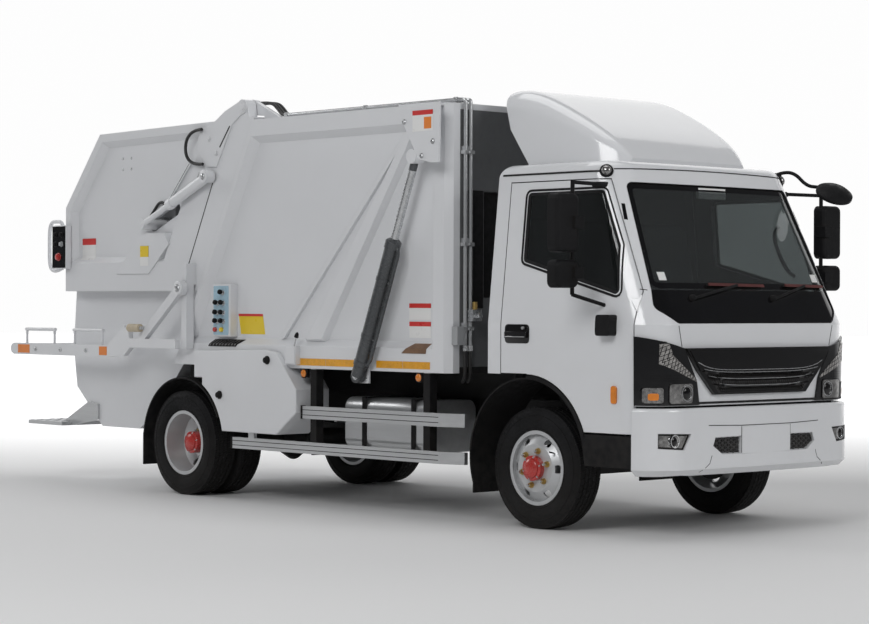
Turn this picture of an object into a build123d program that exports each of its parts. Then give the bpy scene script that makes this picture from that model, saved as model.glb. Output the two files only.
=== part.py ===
"""Rear-loading refuse truck: cab over engine, steel body, hinged tailgate with hopper and bin lift."""
import os
from math import atan2, cos, radians, sin, tan

from build123d import *

os.makedirs("parts", exist_ok=True)

# Millimetres. X points forward, Y to the left, Z up; Z = 0 is the ground.
# Running gear
FRONT_AXLE_X = 2320
WHEELBASE = 3550
REAR_AXLE_X = FRONT_AXLE_X - WHEELBASE
TYRE_D = 767
TYRE_W = 215
AXLE_Z = TYRE_D / 2
RIM_SEAT_R = 222
RIM_FLANGE_R = 236
RIM_FLANGE_T = 12
RIM_WALL = 10
RIM_W = 190
DISC_T = 14
DISH_R = 150
TYRE_FIT = 0.3
FRONT_TRACK_Y = 830
REAR_INNER_Y = 695
REAR_OUTER_Y = 940
KINGPIN_Y = 700
VENT_HOLES = 6
VENT_HOLE_R = 26
VENT_CIRCLE_R = 178
HUB_R = 78
SPINDLE_R = 32
SPINDLE_FIT = 0.5

# Chassis
RAIL_IN_Y = 340
RAIL_W = 60
RAIL_BOTTOM_Z = 600
RAIL_H = 180
RAIL_REAR_X = -1530
RAIL_TAIL_X = -1700
RAIL_TOP_Z = RAIL_BOTTOM_Z + RAIL_H
RAIL_OUT_Y = RAIL_IN_Y + RAIL_W

# Cab
CAB_REAR_X = 1940
CAB_HALF_W = 985
CAB_WALL = 40
CAB_FLOOR_Z = 970
CAB_CORNER_R = 240
CAB_BOW = 30
CAB_ROUND = 90
ROOF_Z = 2300
ROOF_HALF_W = 880
ROOF_CORNER_R = 230
BELT_Z = 1450
FRONT_FACE_X = 3357
FOOT_SETBACK = 15
GRILLE_TOP_Z = 1150
GRILLE_BOTTOM_Z = 800
SCREEN_BASE_Z = 1290
SCREEN_HEAD_X = 2900
DOOR_REAR_X = 2060
DOOR_FRONT_X = 3180
DOOR_BOTTOM_Z = 631
DOOR_TOP_Z = 2180
DOOR_HEAD_X = 2860
DOOR_GAP = 6
GLASS_T = 6
GLASS_DEPTH = 10
ARCH_X = FRONT_AXLE_X - 30
ARCH_Z = 440
ARCH_R = 526
ARCH_LIP = 26
GUARD_T = 12

# Bumper
BUMPER_FACE_X = 3410
BUMPER_T = 60
BUMPER_BOTTOM_Z = 380
BUMPER_TOP_Z = 790
BUMPER_HALF_W = CAB_HALF_W + 30
BUMPER_END_X = 3190

# Body: the rear edge leans back towards the ground
BODY_FRONT_X = 1600
BODY_BOTTOM_Z = 960
BODY_TOP_Z = 2720
BODY_HALF_W = 1015
SIDE_T = 100
SIDE_POCKET = 60
FLOOR_T = 40
ROOF_T = 40
WALL_T = 40
JOINT_FOOT_X = -1382
JOINT_LEAN = 28
JOINT_GAP = 12
PANEL_DRAFT = 38

# Tailgate
HINGE_SETBACK = 134
HINGE_LIFT = 100
HINGE_Z = BODY_TOP_Z + HINGE_LIFT
GATE_HALF_W = BODY_HALF_W - 15
GATE_SIDE_T = 110
GATE_POCKET = 55
GATE_TOP_Z = BODY_TOP_Z + 20
GATE_BREAK_X = -2370
GATE_BREAK_Z = GATE_TOP_Z - 30
GATE_REAR_X = -2835
GATE_SLOPE_H = 554
GATE_REAR_TOP_Z = GATE_BREAK_Z - GATE_SLOPE_H
GATE_BOTTOM_Z = 1500
GATE_BEAM = 62
GATE_SKIN = 20
HOPPER_WALL = 20
HOPPER_RIM_Z = GATE_BOTTOM_Z + 100
HOPPER_LIP_Z = 1040
HOPPER_BOTTOM_Z = 450
SILL_X = GATE_REAR_X - 45
SILL_Z = 1050

# Packer
PACKER_EYE_X = -1730
PACKER_EYE_Z = 2000
PACKER_ANGLE = 22.4
PACKER_STROKE = 300
PACKER_CYL_Y = GATE_HALF_W + 52
PACKER_CYL_R = 38
PACKER_ROD_R = 22
BLADE_L = 1050
BLADE_HALF_W = 850
SHAFT_R = 42

# Bin lift
LIFT_PIVOT_X = -1160
LIFT_PIVOT_Z = 1520
LIFT_GAP = 8
LIFT_ARM_IN_Y = PACKER_CYL_Y + PACKER_CYL_R + LIFT_GAP
LIFT_ARM_T = 40
LIFT_REAR_X = -3410
LIFT_TUBE_R = 40
LIFT_BAR_Z = 1000
LIFT_BAR_H = 90

FAR = 6000


def joint_x(z):
    """X of the slanted joint between body and tailgate at a height."""
    return JOINT_FOOT_X + (z - BODY_BOTTOM_Z) * tan(radians(JOINT_LEAN))


JOINT_TOP_X = joint_x(BODY_TOP_Z)
HINGE_X = JOINT_TOP_X - HINGE_SETBACK


def slab_y(points, y_low, y_high, mode=Mode.ADD, corner_r=0, draft=0):
    """Prism with its outline in X and Z, from one Y to another; draft draws it in towards the low Y."""
    with BuildSketch(Plane.XZ.offset(-y_high)) as outline:
        Polygon(*points, align=None)
        if corner_r:
            fillet(outline.vertices(), radius=corner_r)
    extrude(outline.sketch, amount=y_high - y_low, taper=draft, mode=mode)


def slab_x(points, x_low, x_high, mode=Mode.ADD, corner_r=0):
    """Prism with its outline in Y and Z, from one X to another."""
    with BuildSketch(Plane.YZ.offset(x_low)) as outline:
        Polygon(*points, align=None)
        if corner_r:
            fillet(outline.vertices(), radius=corner_r)
    extrude(outline.sketch, amount=x_high - x_low, mode=mode)


def slab_z(points, z_low, z_high, mode=Mode.ADD):
    """Prism with its outline in X and Y, from one Z to another."""
    with BuildSketch(Plane.XY.offset(z_low)) as outline:
        Polygon(*points, align=None)
    extrude(outline.sketch, amount=z_high - z_low, mode=mode)


def block(x_low, x_high, y_low, y_high, z_low, z_high, mode=Mode.ADD):
    """Box given by its faces."""
    with Locations(((x_low + x_high) / 2, (y_low + y_high) / 2, (z_low + z_high) / 2)):
        Box(x_high - x_low, y_high - y_low, z_high - z_low, mode=mode)


def rod(start, end, radius, mode=Mode.ADD):
    """Round bar between two points."""
    along = Vector(*end) - Vector(*start)
    with BuildSketch(Plane(origin=start, z_dir=along)) as section:
        Circle(radius)
    extrude(section.sketch, amount=along.length, mode=mode)


def rod_y(x, z, radius, y_low, y_high, mode=Mode.ADD):
    """Round bar along Y."""
    rod((x, y_low, z), (x, y_high, z), radius, mode)


def arc_band_y(center, inner_r, outer_r, start, end, y_low, y_high, mode=Mode.ADD):
    """Curved plate about a Y axis, between two angles from the +X direction."""
    with BuildSketch(Plane.XZ.offset(-y_high)) as band:
        with BuildLine() as edge:
            outer = CenterArc(center, outer_r, start, end - start)
            inner = CenterArc(center, inner_r, start, end - start)
            Line(outer @ 0, inner @ 0)
            Line(outer @ 1, inner @ 1)
        make_face()
    extrude(band.sketch, amount=y_high - y_low, mode=mode)


def spin_y(points, x, z, mode=Mode.ADD):
    """Solid of revolution about a Y axis; the points are radius and Y."""
    with BuildSketch(Plane(origin=(x, 0, z))) as section:
        Polygon(*points, align=None)
    revolve(section.sketch, axis=Axis((x, 0, z), (0, 1, 0)), mode=mode)


def offset_path(points, distance):
    """Open line moved sideways to its left, with mitred corners."""
    moved = []
    for index, (x, z) in enumerate(points):
        before = points[max(index - 1, 0)]
        after = points[min(index + 1, len(points) - 1)]
        first = atan2(z - before[1], x - before[0]) if index else None
        second = atan2(after[1] - z, after[0] - x) if index < len(points) - 1 else first
        first = second if first is None else first
        middle = (first + second) / 2
        reach = distance / cos((second - first) / 2)
        moved.append((x - reach * sin(middle), z + reach * cos(middle)))
    return moved


def bowed_plan(z, front_x, rear_x, half_w, corner_r, bow):
    """Plan outline with a bowed front and rounded front corners."""
    with BuildSketch(Plane.XY.offset(z)) as outline:
        with BuildLine():
            Polyline((front_x - bow, half_w), (rear_x, half_w), (rear_x, -half_w), (front_x - bow, -half_w))
            if bow:
                ThreePointArc((front_x - bow, -half_w), (front_x, 0), (front_x - bow, half_w))
            else:
                Line((front_x, -half_w), (front_x, half_w))
        make_face()
        fillet(outline.vertices().group_by(Axis.X)[-1], radius=corner_r)
    return outline.sketch


def keep(part, name):
    """Write one finished piece."""
    part.label = name
    export_step(part, f"parts/{name}.step")


def keep_pair(part, name):
    """Write a left piece and its mirror image."""
    keep(part, f"{name}_left")
    keep(part.mirror(Plane.XZ), f"{name}_right")


# Chassis frame: two rails, cross members, cab mounts and the body's bearers
CROSS_MEMBERS_X = (-1480, -700, 300, 1150, 1800)
CROSS_T = 60
CROSS_DROP = 40
CAB_MOUNTS_X = (2010, 2960)
CAB_MOUNT_L = 90
RAIL_FRONT_X = BUMPER_FACE_X - BUMPER_T

with BuildPart() as frame:
    for side in (-1, 1):
        y_edges = sorted((side * RAIL_IN_Y, side * RAIL_OUT_Y))
        slab_y(((RAIL_REAR_X, RAIL_TOP_Z), (RAIL_TAIL_X, RAIL_BOTTOM_Z), (RAIL_FRONT_X, RAIL_BOTTOM_Z),
                (RAIL_FRONT_X, RAIL_TOP_Z)), *y_edges)
        for x in CAB_MOUNTS_X:
            block(x, x + CAB_MOUNT_L, *y_edges, RAIL_TOP_Z, CAB_FLOOR_Z)
    for x in CROSS_MEMBERS_X:
        block(x, x + CROSS_T, -RAIL_IN_Y, RAIL_IN_Y, RAIL_BOTTOM_Z, RAIL_TOP_Z - CROSS_DROP)
keep(frame.part, "frame")

# Front axle: dropped beam with kingpin eyes and pins
BEAM_HALF_W = 45
BEAM_BOTTOM_Z = AXLE_Z - 60
BEAM_TOP_Z = AXLE_Z + 40
EYE_R = 40
EYE_HALF_H = 80
PIN_R = 18
YOKE_T = 30
YOKE_GAP = 5
YOKE_HALF_H = EYE_HALF_H + YOKE_GAP + YOKE_T

with BuildPart() as front_axle:
    block(FRONT_AXLE_X - BEAM_HALF_W, FRONT_AXLE_X + BEAM_HALF_W,
          -KINGPIN_Y, KINGPIN_Y, BEAM_BOTTOM_Z, BEAM_TOP_Z)
    for side in (-1, 1):
        foot = (FRONT_AXLE_X, side * KINGPIN_Y)
        rod((*foot, AXLE_Z - EYE_HALF_H), (*foot, AXLE_Z + EYE_HALF_H), EYE_R)
        rod((*foot, AXLE_Z - YOKE_HALF_H), (*foot, AXLE_Z + YOKE_HALF_H), PIN_R)
keep(front_axle.part, "front_axle")

# Steering knuckle: yoke lugs above and below the eye, brake plate and stub axle
PIN_FIT = 0.5
PLATE_IN_Y = KINGPIN_Y + EYE_R + YOKE_GAP
PLATE_T = 14
BRAKE_PLATE_R = 150
FRONT_HUB_IN_Y = PLATE_IN_Y + PLATE_T + YOKE_GAP
FRONT_HUB_OUT_Y = FRONT_TRACK_Y + 138
FRONT_DISC_EDGE_Y = FRONT_TRACK_Y + 48
FRONT_FACE_Y = FRONT_TRACK_Y + 92

with BuildPart() as knuckle:
    for low in (AXLE_Z - YOKE_HALF_H, AXLE_Z + EYE_HALF_H + YOKE_GAP):
        rod((FRONT_AXLE_X, KINGPIN_Y, low), (FRONT_AXLE_X, KINGPIN_Y, low + YOKE_T), EYE_R)
        block(FRONT_AXLE_X - EYE_R, FRONT_AXLE_X + EYE_R, KINGPIN_Y, PLATE_IN_Y, low, low + YOKE_T)
    rod_y(FRONT_AXLE_X, AXLE_Z, BRAKE_PLATE_R, PLATE_IN_Y, PLATE_IN_Y + PLATE_T)
    rod_y(FRONT_AXLE_X, AXLE_Z, SPINDLE_R, PLATE_IN_Y, FRONT_FACE_Y)
    rod((FRONT_AXLE_X, KINGPIN_Y, AXLE_Z - YOKE_HALF_H), (FRONT_AXLE_X, KINGPIN_Y, AXLE_Z + YOKE_HALF_H),
        PIN_R + PIN_FIT, mode=Mode.SUBTRACT)
keep_pair(knuckle.part, "knuckle")

# Rear axle: tube, differential bowl and spindles into the hubs
AXLE_TUBE_R = 65
AXLE_TUBE_END_Y = REAR_INNER_Y - TYRE_W / 2 - 20
DIFF_R = 165
DIFF_HALF_W = 150
REAR_FACE_Y = (REAR_INNER_Y + REAR_OUTER_Y) / 2
REAR_DISC_EDGE_Y = REAR_FACE_Y + 44
REAR_HUB_IN_Y = AXLE_TUBE_END_Y + YOKE_GAP
REAR_HUB_OUT_Y = REAR_FACE_Y + 150

with BuildPart() as rear_axle:
    rod_y(REAR_AXLE_X, AXLE_Z, AXLE_TUBE_R, -AXLE_TUBE_END_Y, AXLE_TUBE_END_Y)
    rod_y(REAR_AXLE_X, AXLE_Z, SPINDLE_R, -REAR_FACE_Y, REAR_FACE_Y)
    bowl_half = [(0, DIFF_HALF_W), (DIFF_R / 2, DIFF_HALF_W)]
    spin_y([*bowl_half, (DIFF_R, 0), *[(r, -y) for r, y in reversed(bowl_half)]], REAR_AXLE_X, AXLE_Z)
keep(rear_axle.part, "rear_axle")

# Leaf springs: packs on the axles, hung from the rails at both ends
# columns: axle X, seat height on the axle, half length
SPRINGS = (
    (FRONT_AXLE_X, BEAM_TOP_Z, 560),
    (REAR_AXLE_X, AXLE_Z + AXLE_TUBE_R, 460),
)
LEAF_W = 70
LEAF_Y = RAIL_IN_Y + RAIL_W / 2
LEAF_STEPS = ((1.0, 14), (0.75, 14), (0.5, 14))
HANGER_L = 50

with BuildPart() as springs:
    for axle_x, seat_z, half_length in SPRINGS:
        leaf_top_z = seat_z + sum(thick for share, thick in LEAF_STEPS)
        z = leaf_top_z
        for share, thick in LEAF_STEPS:
            half = half_length * share
            block(axle_x - half, axle_x + half, LEAF_Y - LEAF_W / 2, LEAF_Y + LEAF_W / 2, z - thick, z)
            z -= thick
        for end in (-1, 1):
            hanger_x = sorted((axle_x + end * half_length, axle_x + end * (half_length - HANGER_L)))
            block(*hanger_x, LEAF_Y - LEAF_W / 2, LEAF_Y + LEAF_W / 2, leaf_top_z, RAIL_BOTTOM_Z)
    mirror(about=Plane.XZ)
keep(springs.part, "springs")

# Engine and gearbox, one plain block held between the rails
ENGINE_REAR_X = 2160
ENGINE_FRONT_X = 2940
ENGINE_HALF_W = 280
ENGINE_BOTTOM_Z = 560
ENGINE_TOP_Z = 920
GEARBOX_REAR_X = 1870
GEARBOX_HALF_W = 160
ENGINE_FEET_X = (2260, 2760)
ENGINE_FOOT_L = 80

with BuildPart() as engine_block:
    block(ENGINE_REAR_X, ENGINE_FRONT_X, -ENGINE_HALF_W, ENGINE_HALF_W, ENGINE_BOTTOM_Z, ENGINE_TOP_Z)
    block(GEARBOX_REAR_X, ENGINE_REAR_X, -GEARBOX_HALF_W, GEARBOX_HALF_W, ENGINE_BOTTOM_Z, RAIL_TOP_Z)
    for x in ENGINE_FEET_X:
        block(x, x + ENGINE_FOOT_L, -RAIL_IN_Y, RAIL_IN_Y,
              RAIL_BOTTOM_Z + CROSS_DROP, RAIL_TOP_Z - CROSS_DROP)
keep(engine_block.part, "engine_block")

# Wheels
TYRE_BEAD_R = RIM_SEAT_R + TYRE_FIT
TYRE_BEAD_W = RIM_W - 2 * RIM_FLANGE_T - 2 * TYRE_FIT
TYRE_BULGE_R = TYRE_BEAD_R + 75
TREAD_W = 175


def tyre_section(y):
    """Half section of a tyre at a track position."""
    half = [
        (TYRE_BEAD_R, TYRE_BEAD_W / 2),
        (RIM_FLANGE_R + TYRE_FIT, TYRE_BEAD_W / 2),
        (TYRE_BULGE_R, TYRE_W / 2),
        (TYRE_D / 2, TREAD_W / 2),
    ]
    return [(r, y + w) for r, w in half] + [(r, y - w) for r, w in reversed(half)]


def rim(x, barrels_y, rim_edge_y, face_y, hub_in_y, hub_out_y):
    """Steel wheel with flanged barrels, a dished and pierced disc, and its hub."""
    inner_end = min(barrels_y) - RIM_W / 2
    outer_end = max(barrels_y) + RIM_W / 2
    with BuildPart() as wheel:
        rod_y(x, AXLE_Z, RIM_SEAT_R, inner_end, outer_end)
        for y in barrels_y:
            for edge in (y - RIM_W / 2, y + RIM_W / 2 - RIM_FLANGE_T):
                rod_y(x, AXLE_Z, RIM_FLANGE_R, edge, edge + RIM_FLANGE_T)
        rod_y(x, AXLE_Z, RIM_SEAT_R - RIM_WALL, inner_end, outer_end, mode=Mode.SUBTRACT)
        root_r = RIM_SEAT_R - RIM_WALL / 2
        spin_y([(root_r, rim_edge_y), (root_r, rim_edge_y + DISC_T), (DISH_R, face_y + DISC_T),
                (0, face_y + DISC_T), (0, face_y), (DISH_R, face_y)], x, AXLE_Z)
        rod_y(x, AXLE_Z, HUB_R, hub_in_y, hub_out_y)
        with BuildSketch(Plane.XZ.offset(-outer_end)) as vents:
            with Locations((x, AXLE_Z)):
                with PolarLocations(VENT_CIRCLE_R, VENT_HOLES):
                    Circle(VENT_HOLE_R)
        extrude(vents.sketch, amount=outer_end - inner_end, mode=Mode.SUBTRACT)
        rod_y(x, AXLE_Z, SPINDLE_R + SPINDLE_FIT, hub_in_y, face_y + SPINDLE_FIT, mode=Mode.SUBTRACT)
    return wheel.part


# columns: name, axle X, tyre places, disc edge Y, disc face Y, hub inner Y, hub outer Y
WHEELS = (
    ("front", FRONT_AXLE_X, (FRONT_TRACK_Y,),
     FRONT_DISC_EDGE_Y, FRONT_FACE_Y, FRONT_HUB_IN_Y, FRONT_HUB_OUT_Y),
    ("rear", REAR_AXLE_X, (REAR_INNER_Y, REAR_OUTER_Y),
     REAR_DISC_EDGE_Y, REAR_FACE_Y, REAR_HUB_IN_Y, REAR_HUB_OUT_Y),
)
for place, axle_x, tyres_y, disc_edge_y, face_y, hub_in_y, hub_out_y in WHEELS:
    with BuildPart() as tyre:
        for y in tyres_y:
            spin_y(tyre_section(y), axle_x, AXLE_Z)
    keep_pair(tyre.part, f"tyre_{place}")
    keep_pair(rim(axle_x, tyres_y, disc_edge_y, face_y, hub_in_y, hub_out_y), f"rim_{place}")

# Cab: rounded plan sections at rising heights, hollow, with door, screen and wheel openings
SILL_NOTCH_X = BUMPER_END_X - 4
CAB_FOOT_Z = DOOR_BOTTOM_Z - DOOR_GAP
CAB_CUT_Y = 760
# columns: Z, front X, half width, front corner radius
CAB_SECTIONS = (
    (CAB_FOOT_Z, FRONT_FACE_X - FOOT_SETBACK, CAB_HALF_W, CAB_CORNER_R),
    (SCREEN_BASE_Z, FRONT_FACE_X, CAB_HALF_W, CAB_CORNER_R),
    (ROOF_Z, SCREEN_HEAD_X, ROOF_HALF_W, ROOF_CORNER_R),
)


def both_sides(half):
    """Symmetrical outline from the points of its +Y half."""
    return [*half, *[(-y, z) for y, z in reversed(half)]]


def cab_volume(inset):
    """The cab's closed form, drawn in from its outer skin by a distance."""
    drawn = []
    for z, front_x, half_w, corner_r in CAB_SECTIONS:
        level = z - inset if z == ROOF_Z else z
        drawn.append(bowed_plan(level, front_x - inset, CAB_REAR_X + inset, half_w - inset,
                                corner_r - inset, CAB_BOW))
    with BuildPart() as volume:
        for lower, upper in zip(drawn, drawn[1:]):
            loft([lower, upper], ruled=True)
        fillet(volume.faces().sort_by(Axis.Z)[-1].edges(), radius=CAB_ROUND - inset / 2)
        block(CAB_REAR_X, FRONT_AXLE_X + inset, -FAR, FAR, 0, CAB_FLOOR_Z + inset, mode=Mode.SUBTRACT)
        block(SILL_NOTCH_X - inset, FAR, -FAR, FAR, 0, GRILLE_BOTTOM_Z + inset, mode=Mode.SUBTRACT)
    return volume.part


CAB_FORM = cab_volume(0)
CAB_INNER_FORM = cab_volume(CAB_WALL)
DOOR_OUTLINE = (
    (DOOR_REAR_X, CAB_FLOOR_Z + DOOR_GAP),
    (DOOR_REAR_X, DOOR_TOP_Z),
    (DOOR_HEAD_X, DOOR_TOP_Z),
    (DOOR_FRONT_X, BELT_Z + CAB_WALL),
    (DOOR_FRONT_X, DOOR_BOTTOM_Z),
    (ARCH_X, DOOR_BOTTOM_Z),
    (ARCH_X, CAB_FLOOR_Z + DOOR_GAP),
)
WINDOW_EDGE = 65
WINDOW_REAR_X = DOOR_REAR_X + 2.4 * WINDOW_EDGE
WINDOW_TOP_Z = DOOR_TOP_Z - WINDOW_EDGE
DOOR_WINDOW = (
    (WINDOW_REAR_X, BELT_Z + 230),
    (WINDOW_REAR_X, WINDOW_TOP_Z),
    (DOOR_HEAD_X - 15, WINDOW_TOP_Z),
    (DOOR_FRONT_X - 170, BELT_Z + 320),
    (DOOR_FRONT_X - 120, BELT_Z + 15),
)
WINDOW_ROUND = 30
COWL_TOP_Z = SCREEN_BASE_Z + 210
SCREEN_ROUND = 45
# half outline in Y and Z
SCREEN_OUTLINE = both_sides((
    (742, SCREEN_BASE_Z + 8),
    (872, SCREEN_BASE_Z + 100),
    (848, COWL_TOP_Z),
    (765, ROOF_Z - 135),
))
SCREEN_DEPTH_X = (CAB_REAR_X + SCREEN_HEAD_X) / 2

with BuildPart() as cab_shell:
    add(CAB_FORM)
    add(CAB_INNER_FORM, mode=Mode.SUBTRACT)
    for side in (-1, 1):
        with BuildSketch(Plane.XZ.offset(-side * CAB_CUT_Y)) as door_hole:
            Polygon(*DOOR_OUTLINE, align=None)
            offset(amount=DOOR_GAP, kind=Kind.INTERSECTION)
        extrude(door_hole.sketch, amount=-side * FAR, mode=Mode.SUBTRACT)
    slab_x(SCREEN_OUTLINE, SCREEN_DEPTH_X, FAR, mode=Mode.SUBTRACT, corner_r=SCREEN_ROUND)
    block(FRONT_AXLE_X - CAB_WALL, SILL_NOTCH_X, -CAB_HALF_W + CAB_WALL, CAB_HALF_W - CAB_WALL,
          0, GRILLE_BOTTOM_Z, mode=Mode.SUBTRACT)
    block(FRONT_AXLE_X, FRONT_AXLE_X + 2 * CAB_WALL, -CAB_HALF_W + CAB_WALL, CAB_HALF_W - CAB_WALL,
          0, CAB_FLOOR_Z, mode=Mode.SUBTRACT)
    rod_y(ARCH_X, ARCH_Z, ARCH_R, -FAR, FAR, mode=Mode.SUBTRACT)
    block(FRONT_AXLE_X, FRONT_FACE_X - CAB_CORNER_R, -CAB_HALF_W + CAB_WALL + DOOR_GAP,
          CAB_HALF_W - CAB_WALL - DOOR_GAP, CAB_FLOOR_Z, CAB_FLOOR_Z + CAB_WALL)
    block(FRONT_FACE_X - CAB_CORNER_R, FRONT_FACE_X - CAB_BOW - CAB_WALL, -CAB_HALF_W + CAB_CORNER_R,
          CAB_HALF_W - CAB_CORNER_R, CAB_FLOOR_Z, CAB_FLOOR_Z + CAB_WALL)
    split(bisect_by=Plane.XZ, keep=Keep.BOTTOM)
    mirror(about=Plane.XZ)
keep(cab_shell.part, "cab_shell")

# Glass, a thin layer set below the cab's skin
GLASS_OUTER_FORM = cab_volume(GLASS_DEPTH)
GLASS_INNER_FORM = cab_volume(GLASS_DEPTH + GLASS_T)

with BuildPart() as windscreen:
    add(GLASS_OUTER_FORM)
    add(GLASS_INNER_FORM, mode=Mode.SUBTRACT)
    slab_x(SCREEN_OUTLINE, SCREEN_DEPTH_X, FAR, mode=Mode.INTERSECT, corner_r=SCREEN_ROUND)
    block(-FAR, FAR, -FAR, FAR, COWL_TOP_Z, FAR, mode=Mode.INTERSECT)
keep(windscreen.part, "windscreen")

# Cowl: the dark panel between the glass and the white front
with BuildPart() as cowl:
    add(GLASS_OUTER_FORM)
    add(CAB_INNER_FORM, mode=Mode.SUBTRACT)
    slab_x(SCREEN_OUTLINE, SCREEN_DEPTH_X, FAR, mode=Mode.INTERSECT, corner_r=SCREEN_ROUND)
    block(DOOR_FRONT_X + DOOR_GAP, FAR, -FAR, FAR, 0, COWL_TOP_Z, mode=Mode.INTERSECT)
keep(cowl.part, "cowl")

with BuildPart() as door_glass:
    add(GLASS_OUTER_FORM)
    add(GLASS_INNER_FORM, mode=Mode.SUBTRACT)
    slab_y(DOOR_WINDOW, CAB_CUT_Y, FAR, mode=Mode.INTERSECT, corner_r=WINDOW_ROUND)
keep_pair(door_glass.part, "door_glass")

# Door: the cab's wall inside the door outline, with window and wheel arch cut and a pull handle
HANDLE_X = 2120
HANDLE_L = 170
HANDLE_Z = 1200
HANDLE_H = 36
HANDLE_T = 18

with BuildPart() as door:
    add(CAB_FORM)
    add(CAB_INNER_FORM, mode=Mode.SUBTRACT)
    slab_y(DOOR_OUTLINE, CAB_CUT_Y, FAR, mode=Mode.INTERSECT)
    rod_y(ARCH_X, ARCH_Z, ARCH_R + DOOR_GAP, CAB_CUT_Y, FAR, mode=Mode.SUBTRACT)
    slab_y(DOOR_WINDOW, CAB_CUT_Y, FAR, mode=Mode.SUBTRACT, corner_r=WINDOW_ROUND)
    block(0, FAR, 0, CAB_HALF_W - CAB_WALL, 0, BELT_Z, mode=Mode.SUBTRACT)
    block(HANDLE_X, HANDLE_X + HANDLE_L, CAB_HALF_W, CAB_HALF_W + HANDLE_T, HANDLE_Z, HANDLE_Z + HANDLE_H)
keep_pair(door.part, "door")

# Mirror: two heads on a bent tube carried by the door
MIRROR_X = 2890
MIRROR_TUBE_Y = CAB_HALF_W + 215
MIRROR_TUBE_R = 13
MIRROR_FOOT_X = 2990
MIRROR_FOOT_Z = BELT_Z - 100
MIRROR_BEND_Z = BELT_Z + 20
MIRROR_TOP_X = DOOR_HEAD_X - 30
MIRROR_TOP_Z = DOOR_TOP_Z - WINDOW_EDGE / 2
MIRROR_OUT_Y = CAB_HALF_W + 385
MIRROR_HEAD_W = 190
MIRROR_HEAD_T = 90
# columns: bottom Z, top Z of each head
MIRROR_HEADS = ((1510, 1680), (1725, 2080))
MIRROR_ROUND = 40

with BuildPart() as mirror_arm:
    for low, high in MIRROR_HEADS:
        block(MIRROR_X - MIRROR_HEAD_T / 2, MIRROR_X + MIRROR_HEAD_T / 2,
              MIRROR_OUT_Y - MIRROR_HEAD_W, MIRROR_OUT_Y, low, high)
    fillet(edges().filter_by(Axis.X), radius=MIRROR_ROUND)
    fillet(faces().group_by(Axis.X)[-1].edges(), radius=MIRROR_ROUND * 0.7)
    bend = (MIRROR_X, MIRROR_TUBE_Y, MIRROR_BEND_Z)
    top = (MIRROR_X, MIRROR_TUBE_Y, MIRROR_TOP_Z)
    rod(bend, (MIRROR_X, MIRROR_TUBE_Y, MIRROR_TOP_Z + MIRROR_TUBE_R), MIRROR_TUBE_R)
    rod((MIRROR_FOOT_X, CAB_CUT_Y, MIRROR_FOOT_Z), bend, MIRROR_TUBE_R * 0.9)
    rod((MIRROR_TOP_X, CAB_CUT_Y, MIRROR_TOP_Z), top, MIRROR_TUBE_R * 0.9)
    add(CAB_FORM, mode=Mode.SUBTRACT)
keep_pair(mirror_arm.part, "mirror")

# Grille and headlamps, plates that hug the cab's front
GRILLE_T = 25
GRILLE_DEPTH_X = 3100
GRILLE_FOOT_Z = 865
GRILLE_OUTLINE = both_sides(((440, GRILLE_FOOT_Z), (590, 1012), (698, GRILLE_TOP_Z)))
# columns: slot bottom Z, slot height, half width
GRILLE_SLOTS = ((970, 20, 500), (930, 20, 460), (890, 20, 415))
SLOT_DEPTH = 14
LAMP_T = 16
LAMP_FOOT_Z = GRILLE_BOTTOM_Z + DOOR_GAP
LAMP_OUTLINE = ((565, LAMP_FOOT_Z), (592, 950), (706, GRILLE_TOP_Z), (1040, 1236), (1040, LAMP_FOOT_Z))
LAMP_BACK_X = SILL_NOTCH_X + DOOR_GAP

with BuildPart() as grille:
    add(cab_volume(-GRILLE_T))
    slab_x(GRILLE_OUTLINE, GRILLE_DEPTH_X, FAR, mode=Mode.INTERSECT)
    add(CAB_FORM, mode=Mode.SUBTRACT)
    for low, height, half in GRILLE_SLOTS:
        with BuildPart(mode=Mode.PRIVATE) as slot:
            add(cab_volume(-GRILLE_T))
            add(cab_volume(SLOT_DEPTH - GRILLE_T), mode=Mode.SUBTRACT)
            block(GRILLE_DEPTH_X, FAR, -half, half, low, low + height, mode=Mode.INTERSECT)
        add(slot.part, mode=Mode.SUBTRACT)
keep(grille.part, "grille")

with BuildPart() as headlamps:
    add(cab_volume(-LAMP_T))
    slab_x(LAMP_OUTLINE, LAMP_BACK_X, FAR, mode=Mode.INTERSECT)
    add(CAB_FORM, mode=Mode.SUBTRACT)
    mirror(about=Plane.XZ)
keep(headlamps.part, "headlamps")

# Bumper: a bowed shell with a drawn-in foot, vents, lamp pockets and a flat place for the number plate
BUMPER_CORNER_R = 290
BUMPER_BOW = 50
BUMPER_EDGE_R = 22
BUMPER_FOOT = 38
VENT_OUTLINE = ((240, 502), (240, 609), (470, 607), (490, 556), (410, 504))
FOG_OUTLINE = ((680, 634), (905, 640), (905, 550), (735, 538))
POCKET_DEPTH = 20
PLATE_HALF_W = 232
PLATE_LOW_Z = 500
PLATE_HIGH_Z = 665


def bumper_form(inset, bow):
    """The bumper's closed form, drawn in from its outer skin by a distance."""
    with BuildPart() as form:
        plan = bowed_plan(BUMPER_BOTTOM_Z, BUMPER_FACE_X - inset, BUMPER_END_X - BUMPER_CORNER_R,
                          BUMPER_HALF_W - inset, BUMPER_CORNER_R - inset, bow)
        extrude(plan, amount=BUMPER_TOP_Z - BUMPER_BOTTOM_Z)
        block(BUMPER_END_X, FAR, -FAR, FAR, 0, FAR, mode=Mode.INTERSECT)
    return form.part


BUMPER_SKIN = bumper_form(0, BUMPER_BOW)
BUMPER_POCKET_SKIN = bumper_form(POCKET_DEPTH, BUMPER_BOW)

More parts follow.
